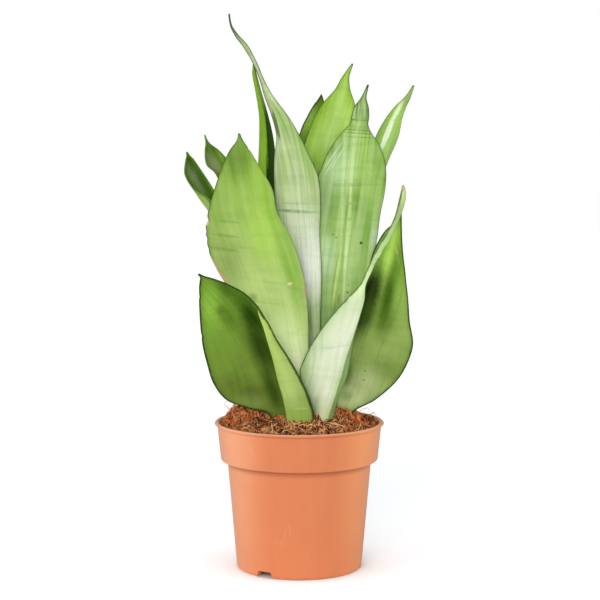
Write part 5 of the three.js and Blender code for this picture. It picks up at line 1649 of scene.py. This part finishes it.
# Soil and coir. A grain: scale, detail and roughness of a noise. The colours of the soil and
# of its crumbs: dark pits, partly painted shade; body; pale grain, partly painted highlights;
# rust. Rusty zones: patches without a colour.
SOIL_SPECULAR = 0.15
SOIL_ROUGHNESS = 0.92
SOIL_GRAIN = (520.0, 4.0, 0.65)
SOIL_BODY_RANGE = (0.45, 0.52)
SOIL_PALE_RANGE = (0.56, 0.66)
SOIL_BUMPS = (900.0, 4.0, 0.7)
SOIL_RELIEF = (0.8, 0.8)
SOIL_COLOURS = ((26, 13, 6), (176, 106, 64), (255, 190, 132), (204, 106, 46))
CRUMB_COLOURS = ((46, 24, 12), (180, 110, 66), (255, 190, 132), (206, 108, 48))
PEAT_TONE_SEED = 5.0
CRUMB_TONE_SEED = 9.0
RUST_SIZE = 0.014
RUST_SHARE = 0.25
RUST_ZONES = [(-45, 110, 9, 12, 0, 0.5, 0.8), (44, 110, 12, 12, 0, 0.5, 0.8)]
RUST_ZONE_SHARE = 0.3
COIR_SPECULAR = 0.25
COIR_ROUGHNESS = 0.75
COIR_TONE_SIZE = 0.004
COIR_GRAIN = 3000.0
COIR_RELIEF = (0.3, 0.1)


def soil_stuff(name, dark, middle, pale, rust, seed):
    """Peat and coir: dark pits and pale grain, partly painted shade and highlights, a brown body
    and rusty patches
    """
    material, tree, shader = new_material(name, SOIL_SPECULAR)
    shader.inputs["Roughness"].default_value = SOIL_ROUGHNESS
    place = object_place(tree)
    body = speckle(tree, place, *SOIL_GRAIN)
    # Dark and pale grain: the soil's own tones, partly painted shade in the pits and painted
    # highlights
    colour = tint(tree, ramp(tree, body, *SOIL_BODY_RANGE), srgb(*dark), srgb(*middle))
    colour = tint(tree, ramp(tree, body, *SOIL_PALE_RANGE), colour, srgb(*pale))
    patch = use(tree, MOTTLE, size=RUST_SIZE, seed=seed)["Tone"]
    colour = lay(tree, colour, patch, rust, RUST_SHARE)
    zones = [(*zone, rust, RUST_ZONE_SHARE) for zone in RUST_ZONES]
    colour = patches_over(tree, colour, zones)
    plug(tree, colour, shader.inputs["Base Color"])
    emboss(tree, shader, speckle(tree, place, *SOIL_BUMPS), *SOIL_RELIEF)
    return material


def fibre_stuff(name, dark, pale, seed):
    """Coir strands that change tone from one to the next"""
    material, tree, shader = new_material(name, COIR_SPECULAR)
    shader.inputs["Roughness"].default_value = COIR_ROUGHNESS
    tone = use(tree, MOTTLE, size=COIR_TONE_SIZE, seed=seed)["Tone"]
    colour = tint(tree, tone, srgb(*dark), srgb(*pale))
    plug(tree, colour, shader.inputs["Base Color"])
    grain = speckle(tree, object_place(tree), COIR_GRAIN)
    emboss(tree, shader, grain, *COIR_RELIEF)
    return material


def make_floor():
    """Pale table top; a glow that only the camera sees keeps it as light as the backdrop, and fades
    near the pot as a painted shadow round its foot
    """
    deselect()
    bpy.ops.mesh.primitive_plane_add(size=FLOOR_SIZE, location=(0, 0, 0))
    floor = new_piece("floor")
    material, tree, shader = new_material("pale_table", FLOOR_SPECULAR)
    shader.inputs["Roughness"].default_value = FLOOR_ROUGHNESS
    tone = use(tree, MOTTLE, size=FLOOR_TONE_SIZE, seed=FLOOR_TONE_SEED)["Tone"]
    colour = tint(tree, tone, *(srgb(*shade) for shade in FLOOR_TONES))
    plug(tree, colour, shader.inputs["Base Color"])
    seen = tree.nodes.new("ShaderNodeLightPath").outputs["Is Camera Ray"]
    length = tree.nodes.new("ShaderNodeVectorMath")
    length.operation = "LENGTH"
    plug(tree, object_place(tree), length.inputs[0])
    # Painted shadow: the glow fades towards the pot's foot
    clear = ramp(tree, length.outputs["Value"], FLOOR_SHADE_START * MM, FLOOR_SHADE_END * MM)
    glow = calc(tree, "MULTIPLY", calc(tree, "POWER", clear, FLOOR_SHADE_POWER), FLOOR_GLOW)
    shader.inputs["Emission Color"].default_value = (1, 1, 1, 1)
    plug(tree, calc(tree, "MULTIPLY", seen, glow), shader.inputs["Emission Strength"])
    floor.data.materials.append(material)


def make_camera():
    deselect()
    bpy.ops.object.camera_add(location=CAMERA_PLACE)
    camera = bpy.context.active_object
    camera.rotation_euler = (math.pi / 2 - CAMERA_DIP, 0, 0)
    camera.data.sensor_width = CAMERA_SENSOR
    camera.data.lens = CAMERA_LENS
    bpy.context.scene.camera = camera


def make_light(name, strength, angle, turn):
    """Wide soft lamp, as through a diffusing panel"""
    deselect()
    bpy.ops.object.light_add(type="SUN", location=(0, 0, 1))
    lamp = bpy.context.active_object
    lamp.name = name
    lamp.data.energy = strength
    lamp.data.angle = math.radians(angle)
    lamp.rotation_euler = [math.radians(value) for value in turn]


def make_world():
    """White room that lights from all sides; the camera sees it as plain white"""
    world = bpy.data.worlds.new("studio")
    world.use_nodes = True
    tree = world.node_tree
    seen = tree.nodes.new("ShaderNodeLightPath")
    lit = tree.nodes["Background"]
    lit.inputs["Color"].default_value = (1, 1, 1, 1)
    lit.inputs["Strength"].default_value = ROOM_LIGHT
    backdrop = tree.nodes.new("ShaderNodeBackground")
    backdrop.inputs["Color"].default_value = (1, 1, 1, 1)
    backdrop.inputs["Strength"].default_value = 1
    chosen = tree.nodes.new("ShaderNodeMixShader")
    tree.links.new(seen.outputs["Is Camera Ray"], chosen.inputs[0])
    tree.links.new(lit.outputs[0], chosen.inputs[1])
    tree.links.new(backdrop.outputs[0], chosen.inputs[2])
    tree.links.new(chosen.outputs[0], tree.nodes["World Output"].inputs["Surface"])
    bpy.context.scene.world = world


pot = make_pot()
pot.data.materials.append(pot_plastic())
hand_over(pot, "pot_plastic", "pot")

feet = leaf_feet()
bed = make_soil_bed()
bed.data.materials.append(soil_stuff("soil_peat", *SOIL_COLOURS, PEAT_TONE_SEED))
hand_over(bed, "coir_soil", "soil")
crumbs = make_crumbs("soil_crumbs", *CRUMBS, feet)
crumbs.data.materials.append(soil_stuff("soil_crumb", *CRUMB_COLOURS, CRUMB_TONE_SEED))
hand_over(crumbs, "coir_soil")
for name, (*sizes, seed, dark, pale, spots, strays) in COIR.items():
    fibres = make_fibres(name, *sizes, seed, feet, spots, strays)
    fibres.data.materials.append(fibre_stuff(name, dark, pale, seed))
    hand_over(fibres, "coir_soil")

for number, (node, leaf) in enumerate(LEAVES.items()):
    look = {**LOOK_BASE, **LOOKS[node]}
    foot, top = (leaf["rows"][i][MIDRIB_HEIGHT] for i in (SOIL_ROW, -1))
    blade, wall = make_leaf(node, leaf, number + RIPPLE_SEED)
    skin = node.replace("leaf", "skin")
    outer = leaf_skin(skin + "_outer", look, "outer", number * OUTER_SEED, foot, top)
    inner = leaf_skin(skin + "_inner", look, "inner", number * INNER_SEED, foot, top)
    rim = leaf_rim(skin + "_rim", look, number * RIM_SEED)
    for material in (outer, inner, rim):
        blade.data.materials.append(material)
    apply_modifier(blade, wall)
    smooth(blade, LEAF_SMOOTHING)
    hand_over(blade, look["slot"], node)

make_floor()
make_camera()
for name, lamp in LAMPS.items():
    make_light(name, *lamp)
make_world()
bpy.context.scene.view_settings.view_transform = "Standard"
